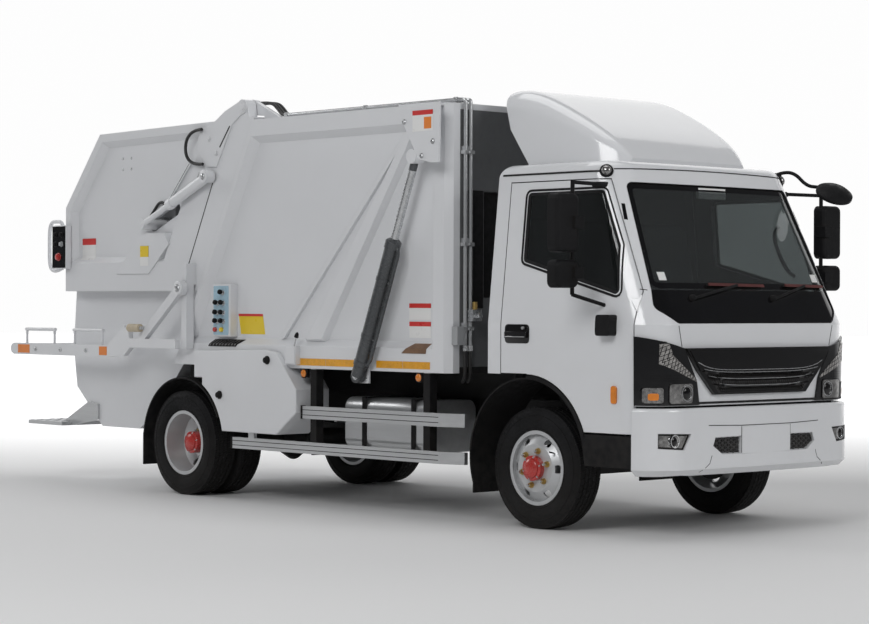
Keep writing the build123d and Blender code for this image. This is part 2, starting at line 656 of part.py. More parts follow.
with BuildPart() as bumper:
    add(BUMPER_SKIN)
    top_rim = bumper.edges().group_by(Axis.Z)[-1]
    fillet(top_rim.filter_by(lambda rim_edge: rim_edge.center().X > BUMPER_END_X + 1), radius=BUMPER_EDGE_R)
    foot_rim = bumper.edges().group_by(Axis.Z)[0]
    chamfer(foot_rim.filter_by(lambda rim_edge: rim_edge.center().X > BUMPER_END_X + 1), length=BUMPER_FOOT)
    add(bumper_form(BUMPER_T, 0), mode=Mode.SUBTRACT)
    for side in (-1, 1):
        for outline in (VENT_OUTLINE, FOG_OUTLINE):
            with BuildPart(mode=Mode.PRIVATE) as pocket:
                add(BUMPER_SKIN)
                add(BUMPER_POCKET_SKIN, mode=Mode.SUBTRACT)
                slab_x([(side * y, z) for y, z in outline], 0, FAR, mode=Mode.INTERSECT)
            add(pocket.part, mode=Mode.SUBTRACT)
    block(BUMPER_FACE_X - BUMPER_T / 2, BUMPER_FACE_X, -PLATE_HALF_W, PLATE_HALF_W,
          PLATE_LOW_Z, PLATE_HIGH_Z)
keep(bumper.part, "bumper")

# Roof fairing: a thin shell through rising sections, open behind and below
# columns: X, half width, top Z, corner radius
FAIRING_SECTIONS = (
    (1790, 760, ROOF_Z + 500, 150),
    (2020, 758, ROOF_Z + 478, 150),
    (2320, 735, ROOF_Z + 350, 130),
    (2600, 680, ROOF_Z + 185, 90),
    (2765, 590, ROOF_Z + 30, 20),
)
FAIRING_T = 16
FAIRING_FOOT_X = 2070
FAIRING_LIP = 60


def fairing_volume(inset):
    """The fairing's closed form, drawn in from its outer skin by a distance."""
    rows = []
    for x, half_w, top_z, corner_r in FAIRING_SECTIONS:
        with BuildSketch(Plane.YZ.offset(x - inset)) as outline:
            half = ((half_w - inset, ROOF_Z - FAIRING_LIP), (half_w - inset - FAIRING_LIP, top_z - inset))
            Polygon(*both_sides(half), align=None)
            fillet(outline.vertices().group_by(Axis.Y)[-1], radius=max(corner_r - inset, FAIRING_T / 2))
        rows.append(outline.sketch)
    with BuildPart() as volume:
        loft(rows)
    return volume.part


with BuildPart() as roof_fairing:
    add(fairing_volume(0))
    add(fairing_volume(FAIRING_T), mode=Mode.SUBTRACT)
    block(0, FAR, -FAR, FAR, 0, ROOF_Z, mode=Mode.SUBTRACT)
    first_x, last_z = FAIRING_SECTIONS[0][0], FAIRING_SECTIONS[0][2]
    slab_y(((FAIRING_FOOT_X, 0), (FAIRING_FOOT_X, ROOF_Z), (first_x + 90, ROOF_Z + 240),
            (first_x + 15, last_z - FAIRING_LIP), (first_x, last_z + FAIRING_T), (0, last_z), (0, 0)),
           -FAR, FAR, mode=Mode.SUBTRACT)
keep(roof_fairing.part, "roof_fairing")

# Dashboard with its console and the steering wheel on the driver's side
DASH_PROFILE = ((2990, 1190), (2990, 1330), (3060, 1375), (3235, 1375), (3245, 1190))
DASH_HALF_W = 790
CONSOLE_HALF_W = 140
CONSOLE_REAR_X = 3080
CONSOLE_FRONT_X = 3230
DRIVER_Y = 450
STEER_X = 2860
STEER_Z = 1420
STEER_R = 205
STEER_RIM_R = 15
COLUMN_END_X = 3040
COLUMN_END_Z = 1230
COLUMN_R = 28
FLOOR_TOP_Z = CAB_FLOOR_Z + CAB_WALL

with BuildPart() as dashboard:
    slab_y(DASH_PROFILE, -DASH_HALF_W, DASH_HALF_W)
    block(CONSOLE_REAR_X, CONSOLE_FRONT_X, -CONSOLE_HALF_W, CONSOLE_HALF_W, FLOOR_TOP_Z, DASH_PROFILE[0][1])
    rod((COLUMN_END_X, DRIVER_Y, COLUMN_END_Z), (STEER_X, DRIVER_Y, STEER_Z), COLUMN_R)
    column = Vector(STEER_X - COLUMN_END_X, 0, STEER_Z - COLUMN_END_Z)
    with Locations(Plane(origin=(STEER_X, DRIVER_Y, STEER_Z), z_dir=column)):
        Torus(STEER_R, STEER_RIM_R)
    rod((STEER_X, DRIVER_Y - STEER_R, STEER_Z), (STEER_X, DRIVER_Y + STEER_R, STEER_Z), STEER_RIM_R)
keep(dashboard.part, "dashboard")

# Seats: driver's seat and a double seat beside it
SEAT_PROFILE = (
    (2180, FLOOR_TOP_Z), (2560, FLOOR_TOP_Z), (2560, 1250), (2660, 1270), (2660, 1390),
    (2260, 1370), (2130, 1980), (2010, 1960), (2110, 1250), (2180, 1250),
)
# columns: right edge Y, left edge Y
SEATS = ((190, 710), (-800, -60))

with BuildPart() as seats:
    for right_y, left_y in SEATS:
        slab_y(SEAT_PROFILE, right_y, left_y)
keep(seats.part, "seats")

# Front wheel arches: lip, inner guard with its flap, hanger to the cab floor and the boarding step
LIP_OUT_R = ARCH_R - TYRE_FIT
LIP_IN_R = ARCH_R - ARCH_LIP
LIP_START = 2
GUARD_END = 200
LIP_IN_Y = 955
LIP_OUT_Y = 990
GUARD_IN_Y = 590
STEP_BOTTOM_Z = 425
STEP_TOP_Z = 618
STEP_IN_Y = 900
STEP_FRONT_X = SILL_NOTCH_X - 4
FLAP_BOTTOM_Z = 200
HANGER_HALF_L = 90

with BuildPart() as wheel_arches:
    arch = (ARCH_X, ARCH_Z)
    arc_band_y(arch, LIP_IN_R, LIP_IN_R + GUARD_T, LIP_START, GUARD_END, GUARD_IN_Y, LIP_OUT_Y)
    arc_band_y(arch, LIP_IN_R, LIP_OUT_R, LIP_START, 90, LIP_IN_Y, LIP_OUT_Y)
    flap_x = ARCH_X + (LIP_IN_R + GUARD_T) * cos(radians(GUARD_END))
    flap_top = ARCH_Z + (LIP_IN_R + GUARD_T) * sin(radians(GUARD_END))
    block(flap_x, flap_x + GUARD_T, GUARD_IN_Y, LIP_OUT_Y, FLAP_BOTTOM_Z, flap_top + GUARD_T)
    block(ARCH_X - HANGER_HALF_L, ARCH_X + HANGER_HALF_L, GUARD_IN_Y, STEP_IN_Y,
          ARCH_Z + LIP_IN_R, CAB_FLOOR_Z)
    block(ARCH_X + LIP_IN_R + GUARD_T / 2, STEP_FRONT_X, STEP_IN_Y, LIP_OUT_Y, STEP_BOTTOM_Z, STEP_TOP_Z)
    rod_y(ARCH_X, ARCH_Z, LIP_IN_R, 0, FAR, mode=Mode.SUBTRACT)
    mirror(about=Plane.XZ)
keep(wheel_arches.part, "wheel_arches")

# Rear mudguards with flaps, hung from the body floor
REAR_GUARD_R = 470
REAR_GUARD_START = 25
REAR_GUARD_END = 175
REAR_GUARD_IN_Y = 585
REAR_GUARD_OUT_Y = 1055
SIDE_IN_Y = BODY_HALF_W - SIDE_T

with BuildPart() as mudguards:
    axle = (REAR_AXLE_X, AXLE_Z)
    arc_band_y(axle, REAR_GUARD_R, REAR_GUARD_R + GUARD_T, REAR_GUARD_START, REAR_GUARD_END,
               REAR_GUARD_IN_Y, REAR_GUARD_OUT_Y)
    flap_x = REAR_AXLE_X - REAR_GUARD_R
    block(flap_x - GUARD_T, flap_x, REAR_GUARD_IN_Y, REAR_GUARD_OUT_Y,
          FLAP_BOTTOM_Z, AXLE_Z + REAR_GUARD_R * sin(radians(REAR_GUARD_END)) + GUARD_T)
    block(REAR_AXLE_X - HANGER_HALF_L, REAR_AXLE_X + HANGER_HALF_L, REAR_GUARD_IN_Y + GUARD_T,
          SIDE_IN_Y - GUARD_T, AXLE_Z + REAR_GUARD_R, BODY_BOTTOM_Z)
    rod_y(REAR_AXLE_X, AXLE_Z, REAR_GUARD_R, 0, FAR, mode=Mode.SUBTRACT)
    mirror(about=Plane.XZ)
keep(mudguards.part, "mudguards")

# Body floor on two bearers that lie on the rails
BEARER_REAR_X = -1270
FLOOR_TOP = BODY_BOTTOM_Z + FLOOR_T

with BuildPart() as body_floor:
    slab_y(((BODY_FRONT_X, BODY_BOTTOM_Z), (BODY_FRONT_X, FLOOR_TOP), (joint_x(FLOOR_TOP), FLOOR_TOP),
            (joint_x(BODY_BOTTOM_Z), BODY_BOTTOM_Z)), -SIDE_IN_Y, SIDE_IN_Y)
    for side in (-1, 1):
        y_edges = sorted((side * RAIL_IN_Y, side * RAIL_OUT_Y))
        block(BEARER_REAR_X, BODY_FRONT_X, *y_edges, RAIL_TOP_Z, BODY_BOTTOM_Z)
keep(body_floor.part, "body_floor")

# Body sides: pressed panels with sloping borders, a thin slanting bar and a tapering ridge
TOP_BEAM = 120
BOTTOM_BEAM = 156
FRONT_POST = 150
REAR_POST = 45
CORNER_CUT = 44
RIDGE_DRAFT = -28
# columns: top rear X, top front X, bottom rear X, bottom front X, height, draft
RIBS = (
    (1142, 1182, -173, -133, 25, 0),
    (1175, 1240, 139, 303, 45, RIDGE_DRAFT),
)

with BuildPart() as body_sides:
    slab_y(((BODY_FRONT_X, BODY_BOTTOM_Z), (BODY_FRONT_X, BODY_TOP_Z), (joint_x(BODY_TOP_Z), BODY_TOP_Z),
            (joint_x(BODY_BOTTOM_Z), BODY_BOTTOM_Z)), SIDE_IN_Y, BODY_HALF_W)
    front_edges = body_sides.edges().filter_by(Axis.Z).group_by(Axis.X)[-1]
    chamfer(front_edges.sort_by(Axis.Y)[-1], length=CORNER_CUT)
    low = BODY_BOTTOM_Z + BOTTOM_BEAM
    high = BODY_TOP_Z - TOP_BEAM
    panel_y = BODY_HALF_W - SIDE_POCKET
    slope = SIDE_POCKET * tan(radians(PANEL_DRAFT))
    slab_y(((BODY_FRONT_X - FRONT_POST, low), (BODY_FRONT_X - FRONT_POST, high),
            (joint_x(high) + REAR_POST, high), (joint_x(low) + REAR_POST, low)),
           panel_y, BODY_HALF_W, mode=Mode.SUBTRACT, draft=PANEL_DRAFT)
    for top_rear, top_front, bottom_rear, bottom_front, height, draft in RIBS:
        slab_y(((top_rear, high - slope), (top_front, high - slope), (bottom_front, low + slope),
                (bottom_rear, low + slope)), panel_y, panel_y + height, draft=draft)
    mirror(about=Plane.XZ)
keep(body_sides.part, "body_sides")

# Body roof with the ears and pins that carry the tailgate
EAR_T = 45
EAR_R = 55
EAR_OUT_Y = SIDE_IN_Y
EAR_IN_Y = EAR_OUT_Y - EAR_T
HINGE_PIN_R = 26
LUG_GAP = 5
LUG_IN_Y = EAR_OUT_Y + LUG_GAP
EAR_FOOT_L = 200

with BuildPart() as body_roof:
    roof_z = BODY_TOP_Z - ROOF_T
    slab_y(((BODY_FRONT_X, roof_z), (BODY_FRONT_X, BODY_TOP_Z), (JOINT_TOP_X, BODY_TOP_Z),
            (joint_x(roof_z), roof_z)), -SIDE_IN_Y, SIDE_IN_Y)
    for side in (-1, 1):
        y_edges = sorted((side * EAR_IN_Y, side * EAR_OUT_Y))
        slab_y(((HINGE_X, HINGE_Z - EAR_R), (JOINT_TOP_X + LUG_GAP, GATE_TOP_Z + 2 * LUG_GAP),
                (JOINT_TOP_X + LUG_GAP, BODY_TOP_Z), (JOINT_TOP_X + EAR_FOOT_L, BODY_TOP_Z),
                (HINGE_X, HINGE_Z + EAR_R)), *y_edges)
        rod_y(HINGE_X, HINGE_Z, EAR_R, *y_edges)
        rod_y(HINGE_X, HINGE_Z, HINGE_PIN_R, *sorted((side * EAR_OUT_Y, side * GATE_HALF_W)))
keep(body_roof.part, "body_roof")

# Body front wall with its service recess
RECESS_HALF_W = 700
RECESS_LOW_Z = 1450
RECESS_HIGH_Z = 2150
RECESS_DEPTH = 25

with BuildPart() as body_front:
    block(BODY_FRONT_X - WALL_T, BODY_FRONT_X, -SIDE_IN_Y, SIDE_IN_Y, FLOOR_TOP, BODY_TOP_Z - ROOF_T)
    block(BODY_FRONT_X - RECESS_DEPTH, FAR, -RECESS_HALF_W, RECESS_HALF_W, RECESS_LOW_Z, RECESS_HIGH_Z,
          mode=Mode.SUBTRACT)
keep(body_front.part, "body_front")

# Side rams from a foot bracket up to a pin under a cover
RAM_FOOT_X = 773
RAM_FOOT_Z = 924
RAM_HEAD_X = BODY_FRONT_X - 256
RAM_HEAD_Z = BODY_TOP_Z - 345
RAM_Y = BODY_HALF_W + 54
RAM_BARREL_R = 50
RAM_ROD_R = 27
RAM_EYE_R = 46
RAM_PIN_R = 22
RAM_BARREL_SHARE = 0.62
FOOT_PLATE_T = 14
FOOT_PLATE_HALF_L = 60
FOOT_PLATE_TOP = 1015
ram_dx = RAM_HEAD_X - RAM_FOOT_X
ram_dz = RAM_HEAD_Z - RAM_FOOT_Z


def on_ram(share):
    """Point on the ram's axis at a share of its length."""
    return (RAM_FOOT_X + share * ram_dx, RAM_Y, RAM_FOOT_Z + share * ram_dz)


with BuildPart() as rams:
    rod(on_ram(0), on_ram(RAM_BARREL_SHARE), RAM_BARREL_R)
    rod(on_ram(RAM_BARREL_SHARE), on_ram(1), RAM_ROD_R)
    for x, z in ((RAM_FOOT_X, RAM_FOOT_Z), (RAM_HEAD_X, RAM_HEAD_Z)):
        rod_y(x, z, RAM_EYE_R, RAM_Y - RAM_ROD_R, RAM_Y + RAM_ROD_R)
    rod_y(RAM_HEAD_X, RAM_HEAD_Z, RAM_PIN_R, BODY_HALF_W - SIDE_POCKET, RAM_Y)
    rod_y(RAM_FOOT_X, RAM_FOOT_Z, RAM_PIN_R, BODY_HALF_W, RAM_Y)
    block(RAM_FOOT_X - FOOT_PLATE_HALF_L, RAM_FOOT_X + FOOT_PLATE_HALF_L, BODY_HALF_W,
          BODY_HALF_W + FOOT_PLATE_T, RAM_FOOT_Z - RAM_EYE_R, FOOT_PLATE_TOP)
    mirror(about=Plane.XZ)
keep(rams.part, "rams")

# Ram covers: flanged plates over the upper pins
COVER_TOP_Z = BODY_TOP_Z - 6
COVER_REAR_X = BODY_FRONT_X - 349
COVER_OUTLINE = (
    (BODY_FRONT_X + 40, BODY_TOP_Z - 398),
    (BODY_FRONT_X + 46, COVER_TOP_Z),
    (COVER_REAR_X, COVER_TOP_Z),
    (COVER_REAR_X, COVER_TOP_Z - 28),
    (BODY_FRONT_X - 285, BODY_TOP_Z - 165),
    (BODY_FRONT_X - 157, BODY_TOP_Z - 369),
    (BODY_FRONT_X - 43, BODY_TOP_Z - 395),
)
COVER_T = 14
COVER_FACE_Y = RAM_Y + RAM_BARREL_R + 8
COVER_FLANGE = 16

with BuildPart() as ram_covers:
    slab_y(COVER_OUTLINE, COVER_FACE_Y, COVER_FACE_Y + COVER_T)
    block(COVER_REAR_X, BODY_FRONT_X - CORNER_CUT, BODY_HALF_W, COVER_FACE_Y,
          COVER_TOP_Z - COVER_FLANGE, COVER_TOP_Z)
    mirror(about=Plane.XZ)
keep(ram_covers.part, "ram_covers")

# Hydraulic pipes: along the roof's right edge and down the front wall, on saddles
PIPE_R = 13
ROOF_PIPES_Y = (-820, -865, -905)
ROOF_PIPE_REAR_X = JOINT_TOP_X + EAR_FOOT_L + 40
ROOF_PIPE_FRONT_X = BODY_FRONT_X - 40
ROOF_SADDLES_X = (-150, 500, 1300)
SADDLE_L = 40
PIPE_LIFT = 12
FRONT_PIPES_Y = (-890, -845)
FRONT_PIPE_LOW_Z = 1120
FRONT_PIPE_HIGH_Z = BODY_TOP_Z - 60
FRONT_CLAMPS_Z = (1250, 1800, 2400)

with BuildPart() as pipes:
    pipe_z = BODY_TOP_Z + PIPE_LIFT + PIPE_R
    for y in ROOF_PIPES_Y:
        rod((ROOF_PIPE_REAR_X, y, pipe_z), (ROOF_PIPE_FRONT_X, y, pipe_z), PIPE_R)
    for x in ROOF_SADDLES_X:
        block(x, x + SADDLE_L, min(ROOF_PIPES_Y) - PIPE_R / 2, max(ROOF_PIPES_Y) + PIPE_R, BODY_TOP_Z, pipe_z)
    pipe_x = BODY_FRONT_X + PIPE_LIFT + PIPE_R
    for y in FRONT_PIPES_Y:
        rod((pipe_x, y, FRONT_PIPE_LOW_Z), (pipe_x, y, FRONT_PIPE_HIGH_Z), PIPE_R)
    for z in FRONT_CLAMPS_Z:
        block(BODY_FRONT_X, pipe_x, min(FRONT_PIPES_Y) - PIPE_R, max(FRONT_PIPES_Y) + PIPE_R, z, z + SADDLE_L)
keep(pipes.part, "pipes")

# Side lockers in front of the rear wheels: cover plate and box
LOCKER_FOOT_Z = 490
LOCKER_OUTLINE = (
    (-1075, LOCKER_FOOT_Z), (-1075, 1066), (-256, 1086), (-121, 1066), (100, 812), (100, 652),
    (-118, LOCKER_FOOT_Z),
)
LOCKER_ARCH_R = 500
LOCKER_FACE_Y = BODY_HALF_W + 45
LOCKER_EDGE = 6
LOCKER_IN_Y = 760
LOCKER_BACK_Y = BODY_HALF_W + 2
LOCKER_REAR_BOTTOM_Z = 870

with BuildPart() as side_lockers:
    slab_y(LOCKER_OUTLINE, LOCKER_IN_Y, LOCKER_FACE_Y)
    block(-FAR, FAR, 0, LOCKER_BACK_Y, BODY_BOTTOM_Z, FAR, mode=Mode.SUBTRACT)
    rod_y(REAR_AXLE_X, AXLE_Z, LOCKER_ARCH_R, 0, FAR, mode=Mode.SUBTRACT)
    block(-FAR, REAR_AXLE_X + LOCKER_ARCH_R / 2, 0, FAR, 0, LOCKER_REAR_BOTTOM_Z, mode=Mode.SUBTRACT)
    chamfer(side_lockers.faces().sort_by(Axis.Y)[-1].edges(), length=LOCKER_EDGE)
    mirror(about=Plane.XZ)
keep(side_lockers.part, "side_lockers")

# Side guards: two rails on posts under the body, their front ends turned inwards
GUARD_RAIL_T = 30
GUARD_FACE_Y = BODY_HALF_W + 5
GUARD_FRONT_X = 1530
GUARD_TURN_L = 170
GUARD_TURN_W = 60
# columns: rear X, bottom Z, top Z
GUARD_RAILS = ((-680, 370, 450), (110, 612, 700))
GUARD_POSTS_X = (180, 1340)
GUARD_POST_L = 60
GUARD_STAY_X = -480

with BuildPart() as side_guards:
    rail_y = GUARD_FACE_Y - GUARD_RAIL_T
    for rear_x, low, high in GUARD_RAILS:
        slab_z(((rear_x, rail_y), (rear_x, GUARD_FACE_Y), (GUARD_FRONT_X, GUARD_FACE_Y),
                (GUARD_FRONT_X + GUARD_TURN_L, GUARD_FACE_Y - GUARD_TURN_W),
                (GUARD_FRONT_X + GUARD_TURN_L, rail_y - GUARD_TURN_W), (GUARD_FRONT_X, rail_y)), low, high)
    for x in GUARD_POSTS_X:
        block(x, x + GUARD_POST_L, rail_y - GUARD_POST_L, rail_y, GUARD_RAILS[0][1], BODY_BOTTOM_Z)
    block(GUARD_STAY_X, GUARD_STAY_X + GUARD_POST_L, rail_y, GUARD_FACE_Y, GUARD_RAILS[0][2], LOCKER_FOOT_Z)
    mirror(about=Plane.XZ)
keep(side_guards.part, "side_guards")

# Fuel tank on the right, on brackets from the rail
TANK_REAR_X = 420
TANK_FRONT_X = 1290
TANK_IN_Y = 470
TANK_OUT_Y = 880
TANK_LOW_Z = 420
TANK_HIGH_Z = 770
TANK_ROUND = 70
TANK_BRACKETS_X = (560, 1090)
TANK_BRACKET_L = 60

with BuildPart() as fuel_tank:
    block(TANK_REAR_X, TANK_FRONT_X, -TANK_OUT_Y, -TANK_IN_Y, TANK_LOW_Z, TANK_HIGH_Z)
    fillet(edges().filter_by(Axis.X), radius=TANK_ROUND)
    for x in TANK_BRACKETS_X:
        block(x, x + TANK_BRACKET_L, -TANK_IN_Y, -RAIL_OUT_Y, RAIL_BOTTOM_Z, RAIL_TOP_Z - CROSS_DROP)
keep(fuel_tank.part, "fuel_tank")

# Lever panel, a shallow box at the rear of the right side
PANEL_REAR_X = -890
PANEL_FRONT_X = -690
PANEL_LOW_Z = 1170
PANEL_HIGH_Z = 1548
PANEL_T = 15
PANEL_EDGE = 8

with BuildPart() as control_panel:
    block(PANEL_REAR_X, PANEL_FRONT_X, -BODY_HALF_W - PANEL_T, -BODY_HALF_W + SIDE_POCKET,
          PANEL_LOW_Z, PANEL_HIGH_Z)
    chamfer(control_panel.faces().sort_by(Axis.Y)[0].edges(), length=PANEL_EDGE)
keep(control_panel.part, "control_panel")

# Tow eyes under the front ends of the rails
TOW_EYE_R = 38
TOW_BORE_R = 16
TOW_EYE_T = 40
TOW_EYE_X = RAIL_FRONT_X - 100

with BuildPart() as tow_eyes:
    for y in (-LEAF_Y, LEAF_Y):
        foot = (TOW_EYE_X, y, RAIL_BOTTOM_Z)
        rod(foot, (TOW_EYE_X, y, RAIL_BOTTOM_Z - TOW_EYE_T), TOW_EYE_R)
        rod(foot, (TOW_EYE_X, y, RAIL_BOTTOM_Z - TOW_EYE_T), TOW_BORE_R, mode=Mode.SUBTRACT)
keep(tow_eyes.part, "tow_eyes")

# Tailgate sides: pressed panels with the packer's guide slot, guide plates and hinge gussets
GATE_SIDE_IN_Y = GATE_HALF_W - GATE_SIDE_T
GATE_OUTLINE = (
    (joint_x(GATE_TOP_Z) - JOINT_GAP, GATE_TOP_Z),
    (GATE_BREAK_X, GATE_BREAK_Z),
    (GATE_REAR_X, GATE_REAR_TOP_Z),
    (GATE_REAR_X, GATE_BOTTOM_Z),
    (joint_x(GATE_BOTTOM_Z) - JOINT_GAP, GATE_BOTTOM_Z),
)
SLOT_FIT = 8
GATE_COLUMN = 560
GATE_POCKET_LOW_Z = GATE_BOTTOM_Z + 220
GUIDE_PLATE = (
    (PACKER_EYE_X - 86, PACKER_EYE_Z - 60),
    (PACKER_EYE_X - 405, GATE_BOTTOM_Z + 130),
    (PACKER_EYE_X + 17, GATE_BOTTOM_Z + 130),
    (PACKER_EYE_X + 270, PACKER_EYE_Z - 150),
    (PACKER_EYE_X + 213, PACKER_EYE_Z - 66),
)
GUSSET_T = 10
# the plate around the hinge eye, in X and Z from the hinge
GUSSET = (
    (0, 50), (-200, -22), (-346, -103), (-494, -144), (-534, -240), (-492, -340), (-411, -416),
    (-300, -420), (-117, -120), (40, -25),
)
LUG_R = 52
LUG_FOOT = 70
HINGE_FIT = 0.5
slide_x = cos(radians(PACKER_ANGLE))
slide_z = sin(radians(PACKER_ANGLE))


def on_slide(travel):
    """Packer shaft centre in X and Z after a travel along the guide."""
    return (PACKER_EYE_X + travel * slide_x, PACKER_EYE_Z + travel * slide_z)


def guide_slot(half_width, y_low, y_high):
    """Long hole along the packer's guide."""
    start = on_slide(0)
    end = on_slide(PACKER_STROKE)
    side_x = -slide_z * half_width
    side_z = slide_x * half_width
    slab_y(((start[0] + side_x, start[1] + side_z), (end[0] + side_x, end[1] + side_z),
            (end[0] - side_x, end[1] - side_z), (start[0] - side_x, start[1] - side_z)),
           y_low, y_high, mode=Mode.SUBTRACT)
    for x, z in (start, end):
        rod_y(x, z, half_width, y_low, y_high, mode=Mode.SUBTRACT)


with BuildPart() as tailgate_sides:
    slab_y(GATE_OUTLINE, GATE_SIDE_IN_Y, GATE_HALF_W)
    with BuildSketch(Plane.XZ.offset(-GATE_HALF_W)) as pocket:
        Polygon(*GATE_OUTLINE, align=None)
        offset(amount=-GATE_BEAM, kind=Kind.INTERSECTION)
        Polygon((joint_x(GATE_POCKET_LOW_Z) - GATE_COLUMN, GATE_POCKET_LOW_Z),
                (joint_x(GATE_TOP_Z) - GATE_COLUMN, GATE_TOP_Z), (-FAR, GATE_TOP_Z),
                (-FAR, GATE_POCKET_LOW_Z), align=None, mode=Mode.INTERSECT)
    extrude(pocket.sketch, amount=GATE_POCKET, taper=PANEL_DRAFT, mode=Mode.SUBTRACT)
    slab_y(GUIDE_PLATE, GATE_HALF_W - GATE_POCKET, GATE_HALF_W + GUSSET_T)
    slab_y([(HINGE_X + x, HINGE_Z + z) for x, z in GUSSET], GATE_HALF_W, GATE_HALF_W + GUSSET_T)
    slab_y(((HINGE_X - LUG_FOOT, GATE_TOP_Z - GATE_SKIN), (HINGE_X + LUG_FOOT, GATE_TOP_Z - GATE_SKIN),
            (HINGE_X + LUG_R, HINGE_Z), (HINGE_X - LUG_R, HINGE_Z)), LUG_IN_Y, GATE_HALF_W)
    rod_y(HINGE_X, HINGE_Z, LUG_R, LUG_IN_Y, GATE_HALF_W + GUSSET_T)
    rod_y(HINGE_X, HINGE_Z, HINGE_PIN_R + HINGE_FIT, LUG_IN_Y, GATE_HALF_W + GUSSET_T, mode=Mode.SUBTRACT)
    guide_slot(SHAFT_R + SLOT_FIT, GATE_SIDE_IN_Y, GATE_HALF_W)
    mirror(about=Plane.XZ)
keep(tailgate_sides.part, "tailgate_sides")

# Tailgate roof and back, one bent skin
GATE_SKIN_LINE = (GATE_OUTLINE[0], GATE_OUTLINE[1], GATE_OUTLINE[2], (GATE_REAR_X, HOPPER_RIM_Z))

with BuildPart() as tailgate_roof:
    inner_line = offset_path(GATE_SKIN_LINE, GATE_SKIN)
    slab_y((*GATE_SKIN_LINE, *reversed(inner_line)), -GATE_SIDE_IN_Y, GATE_SIDE_IN_Y)
keep(tailgate_roof.part, "tailgate_roof")

# Hopper: bent trough between two side walls
TROUGH = (
    (joint_x(HOPPER_LIP_Z) - JOINT_GAP, HOPPER_LIP_Z),
    (-1730, 620),
    (-1980, HOPPER_BOTTOM_Z),
    (-2480, HOPPER_BOTTOM_Z),
    (-2830, 750),
    (SILL_X, SILL_Z),
)

with BuildPart() as hopper:
    slab_y((*TROUGH, *reversed(offset_path(TROUGH, -HOPPER_WALL))), -GATE_SIDE_IN_Y, GATE_SIDE_IN_Y)
    rim_line = ((GATE_REAR_X, HOPPER_RIM_Z), (joint_x(HOPPER_RIM_Z) - JOINT_GAP, HOPPER_RIM_Z))
    for side in (-1, 1):
        y_edges = sorted((side * GATE_SIDE_IN_Y, side * (GATE_SIDE_IN_Y - HOPPER_WALL)))
        slab_y((*TROUGH, *rim_line), *y_edges)
keep(hopper.part, "hopper")

# Packer cylinders outside the tailgate, pinned at their upper ends
CYL_LENGTH = 865
CYL_END_GAP = 8
CYL_BARREL_L = CYL_LENGTH - PACKER_STROKE - SHAFT_R - CYL_END_GAP
CYL_BORE_L = 360
CYL_ROD_L = 365
CYL_EYE_R = 44
CYL_PIN_R = 20
ROD_FIT = 0.5


def on_cylinder(distance):
    """Point on the packer cylinder's axis, a distance from the rod's eye."""
    x, z = on_slide(distance)
    return (x, PACKER_CYL_Y, z)


with BuildPart() as packer_barrels:
    rod(on_cylinder(CYL_LENGTH - CYL_BARREL_L), on_cylinder(CYL_LENGTH), PACKER_CYL_R)
    top_x, top_z = on_slide(CYL_LENGTH)
    rod_y(top_x, top_z, CYL_EYE_R, PACKER_CYL_Y - CYL_PIN_R, PACKER_CYL_Y + CYL_PIN_R)
    rod_y(top_x, top_z, CYL_PIN_R, GATE_HALF_W, PACKER_CYL_Y)
    rod(on_cylinder(CYL_LENGTH - CYL_BARREL_L), on_cylinder(CYL_LENGTH - CYL_BARREL_L + CYL_BORE_L),
        PACKER_ROD_R + ROD_FIT, mode=Mode.SUBTRACT)
    mirror(about=Plane.XZ)
keep(packer_barrels.part, "packer_barrels")

# Packer carriage: shaft through the guides, cross beam and the cylinders' rods
CARRIAGE_HALF_W = 800
CARRIAGE_BEAM_HALF_L = 70
CARRIAGE_BEAM_H = 160

with BuildPart() as carriage:
    rod_y(PACKER_EYE_X, PACKER_EYE_Z, SHAFT_R, -PACKER_CYL_Y - CYL_PIN_R, PACKER_CYL_Y + CYL_PIN_R)
    block(PACKER_EYE_X - CARRIAGE_BEAM_HALF_L, PACKER_EYE_X + CARRIAGE_BEAM_HALF_L,
          -CARRIAGE_HALF_W, CARRIAGE_HALF_W, PACKER_EYE_Z, PACKER_EYE_Z + CARRIAGE_BEAM_H)
    for side in (-1, 1):
        ends = [(x, side * y, z) for x, y, z in (on_cylinder(0), on_cylinder(CYL_ROD_L))]
        rod(*ends, PACKER_ROD_R)
keep(carriage.part, "carriage")

# Packer blade: plate on two hubs about the shaft
HUB_IN_Y = 812
BLADE_HUB_R = 62
BLADE_HUB_FIT = 0.5
BLADE_T = 40
BLADE_TOP_DROP = 56

with BuildPart() as blade:
    block(PACKER_EYE_X - BLADE_T / 2, PACKER_EYE_X + BLADE_T / 2, -BLADE_HALF_W, BLADE_HALF_W,
          PACKER_EYE_Z - BLADE_L, PACKER_EYE_Z - BLADE_TOP_DROP)
    for side in (-1, 1):
        y_edges = sorted((side * HUB_IN_Y, side * BLADE_HALF_W))
        rod_y(PACKER_EYE_X, PACKER_EYE_Z, BLADE_HUB_R, *y_edges)
        rod_y(PACKER_EYE_X, PACKER_EYE_Z, SHAFT_R + BLADE_HUB_FIT, *y_edges, mode=Mode.SUBTRACT)
keep(blade.part, "blade")

# Rear control box and grab bar on the right rear corner
BOX_L = 110
BOX_IN_Y = 800
BOX_OUT_Y = 980
BOX_LOW_Z = 1690
BOX_HIGH_Z = 1990
GRAB_X = -3060
GRAB_Y = 940
GRAB_R = 16
GRAB_STAY_R = 13
GRAB_LOW_Z = 1640
GRAB_HIGH_Z = 2050

